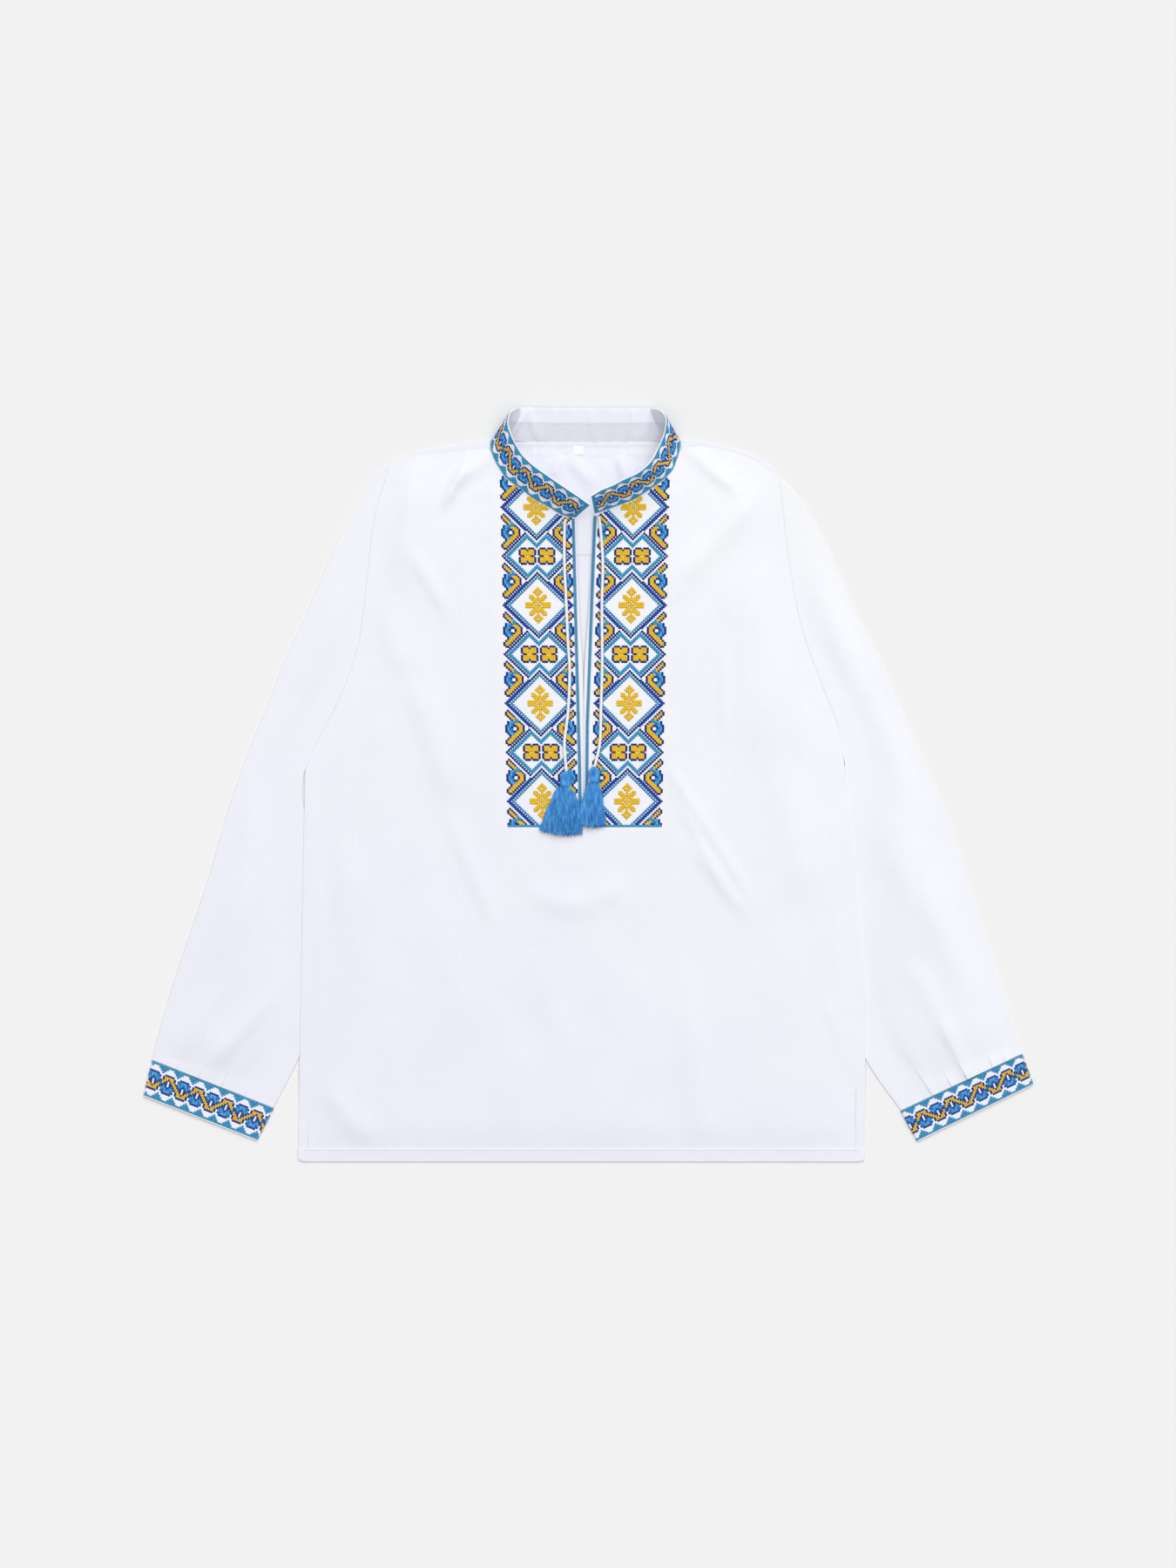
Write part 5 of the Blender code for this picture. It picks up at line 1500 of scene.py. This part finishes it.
def state_cuts():
    """Work out half the surface area of each piece of cloth listed in the cuts; nothing more is done with it."""
    for name, (width, length, held, rests_on, with_pieces) in CUTS.items():
        cloth = bpy.data.objects[name]
        area = sum(face.area for face in cloth.data.polygons) / 2


class FOLKSHIRT_OT_camera(bpy.types.Operator):
    """Look straight down on the shirt"""

    bl_idname = "folkshirt.camera"
    bl_label = "Camera"

    def execute(self, context):
        data = bpy.data.cameras.new("photo_camera")
        data.sensor_fit = "VERTICAL"
        data.sensor_height = 36.0
        data.lens = CAMERA_LENS
        data.clip_end = 20.0
        camera = bpy.data.objects.new("photo_camera", data)
        camera.location = CAMERA_PLACE
        context.scene.collection.objects.link(camera)
        context.scene.camera = camera
        return {"FINISHED"}


class FOLKSHIRT_OT_tassels(bpy.types.Operator):
    """Make the two tassels and the cords that they hang on"""

    bl_idname = "folkshirt.tassels"
    bl_label = "Cords and tassels"

    def execute(self, context):
        for tassel in TASSELS:
            piece = make_tassel(context, tassel)
            make_cord(context, tassel.side)
        return {"FINISHED"}


class FOLKSHIRT_OT_body(bpy.types.Operator):
    """Make the front and the back"""

    bl_idname = "folkshirt.body"
    bl_label = "Front and back"

    def execute(self, context):
        make_back(context)
        make_front(context)
        return {"FINISHED"}


class FOLKSHIRT_OT_sleeves(bpy.types.Operator):
    """Make both sleeves"""

    bl_idname = "folkshirt.sleeves"
    bl_label = "Sleeves"

    def execute(self, context):
        for side in ("left", "right"):
            make_sleeve(context, side)
        return {"FINISHED"}


class FOLKSHIRT_OT_embroidery(bpy.types.Operator):
    """Make the cuffs and the collar with their borders, and the strips beside the slit"""

    bl_idname = "folkshirt.embroidery"
    bl_label = "Embroidery"

    def execute(self, context):
        thread = model_thread()
        stitch = cross_stitch(thread, context.scene.folk_shirt_sizes.thread_width)
        threads = thread_finishes()
        slit_look = thread_finish("thread_slit", context.scene.folk_shirt_colours.slit)
        for side in ("left", "right"):
            make_cuff(context, side, stitch, threads)
            make_strip(side, stitch, threads)
            make_slit_line(side, thread, slit_look)
        make_collar(context, stitch, threads)
        return {"FINISHED"}


class FOLKSHIRT_OT_neck(bpy.types.Operator):
    """Make the tape and the tab at the back neck, and the underlap behind the slit"""

    bl_idname = "folkshirt.neck"
    bl_label = "Neck finishing"

    def execute(self, context):
        colours = context.scene.folk_shirt_colours
        pitch = context.scene.folk_shirt_sizes.weave_pitch
        tape_look = woven_finish("tape_twill", colours.tape, pitch * 1.3, turn=0.785)
        tape = make_flat_piece("neck_tape_cloth", TAPE, wall() + 0.03, 0.45, tape_look, relief=tape_relief)
        finish_piece(tape, "neck_tape", "neck_tape")
        tab_look = woven_finish("tab_satin", colours.tab, pitch * 0.7)
        tab = make_flat_piece("size_tab_cloth", SIZE_TAB, wall() + 0.55, 0.45, tab_look, step=0.8)
        finish_piece(tab, "size_tab", "size_tab")
        lap_look = woven_finish("underlap_cotton", colours.cotton, pitch)
        lap = make_flat_piece("underlap_cloth", UNDERLAP, wall() + 0.1, 0.6, lap_look)
        finish_piece(lap, "white_cotton", "slit_underlap")
        return {"FINISHED"}


def tape_relief(x, y):
    """Slight pulls along the tape's stitching."""
    pulls = np.sin(x / 1.9 + 1.6 * np.sin(x / 7.0)) * (0.6 + 0.4 * np.sin(x / 4.7))
    return 0.28 * pulls * smooth((y - 318.5) / 3.0) - 0.12 + 1.1 * smooth((y - 324.5) / 5.0)


class FOLKSHIRT_OT_seams(bpy.types.Operator):
    """Sew the hem and the vents, and work out the area of each cut piece of cloth"""

    bl_idname = "folkshirt.seams"
    bl_label = "Machine stitching"

    def execute(self, context):
        thread = model_thread()
        look = thread_finish("sewing_thread", context.scene.folk_shirt_colours.sewing, contrast=0.08)
        x = np.linspace(-274.0, 262.0, 400)
        running_stitches("hem_stitches", thread, x, np.full_like(x, HEM_Y + HEM_DEPTH - 1.2), look)
        for side, inwards in (("left", 9.2), ("right", -9.2)):
            y = np.linspace(VENT_TOPS[side], HEM_Y + HEM_DEPTH, 60)
            running_stitches("vent_stitches_" + side, thread, x_at(side + " edge", y) + inwards, y, look)
        state_cuts()
        return {"FINISHED"}


class FOLKSHIRT_OT_stage(bpy.types.Operator):
    """Lay the pale floor and set the soft light"""

    bl_idname = "folkshirt.stage"
    bl_label = "Floor and light"

    def execute(self, context):
        pick_none()
        bpy.ops.mesh.primitive_grid_add(x_subdivisions=8, y_subdivisions=8, size=6.0, location=(0.0, 0.0, -0.0001))
        floor = context.object
        floor.name = "floor"
        finish = Finish("floor_paint", context.scene.folk_shirt_colours.floor, 0.9)
        finish.tint(finish.noise(finish.place((900.0, 900.0, 900.0)), detail=2.0), 0.995, 1.005)
        floor.data.materials.append(finish.material)
        world = bpy.data.worlds.new("soft_room")
        world.use_nodes = True
        world.node_tree.nodes["Background"].inputs["Color"].default_value = (1.0, 1.0, 1.0, 1.0)
        world.node_tree.nodes["Background"].inputs["Strength"].default_value = ROOM_LIGHT
        context.scene.world = world
        for name, place, spread, power in SUNS:
            data = bpy.data.lights.new(name, "SUN")
            data.angle = math.radians(spread)
            data.energy = power
            light = bpy.data.objects.new(name, data)
            light.location = place
            away = math.hypot(place[0], place[1])
            light.rotation_euler = (math.atan2(away, place[2]), 0.0, math.atan2(place[0], -place[1]))
            context.scene.collection.objects.link(light)
        context.scene.view_settings.view_transform = "Standard"
        context.scene.view_settings.look = "None"
        return {"FINISHED"}


OPERATORS = (
    FOLKSHIRT_OT_camera, FOLKSHIRT_OT_tassels, FOLKSHIRT_OT_body, FOLKSHIRT_OT_sleeves, FOLKSHIRT_OT_embroidery,
    FOLKSHIRT_OT_neck, FOLKSHIRT_OT_seams, FOLKSHIRT_OT_stage,
)


class FOLKSHIRT_PT_panel(bpy.types.Panel):
    """Sizes, colours and steps of the folk shirt"""

    bl_idname = "FOLKSHIRT_PT_panel"
    bl_label = "Folk Shirt"
    bl_space_type = "VIEW_3D"
    bl_region_type = "UI"
    bl_category = "Folk Shirt"

    def draw(self, context):
        column = self.layout.column()
        for group in (context.scene.folk_shirt_sizes, context.scene.folk_shirt_colours):
            for name in group.__annotations__:
                column.prop(group, name)
        for operator in OPERATORS:
            column.operator(operator.bl_idname)


CLASSES = (FolkShirtSizes, FolkShirtColours, *OPERATORS, FOLKSHIRT_PT_panel)


def register():
    for item in CLASSES:
        bpy.utils.register_class(item)
    bpy.types.Scene.folk_shirt_sizes = bpy.props.PointerProperty(type=FolkShirtSizes)
    bpy.types.Scene.folk_shirt_colours = bpy.props.PointerProperty(type=FolkShirtColours)


def unregister():
    del bpy.types.Scene.folk_shirt_colours
    del bpy.types.Scene.folk_shirt_sizes
    for item in reversed(CLASSES):
        bpy.utils.unregister_class(item)


def main():
    register()
    bpy.ops.folkshirt.camera()
    bpy.ops.folkshirt.tassels()
    bpy.ops.folkshirt.body()
    bpy.ops.folkshirt.sleeves()
    bpy.ops.folkshirt.embroidery()
    bpy.ops.folkshirt.neck()
    bpy.ops.folkshirt.seams()
    bpy.ops.folkshirt.stage()


if __name__ == "__main__":
    main()
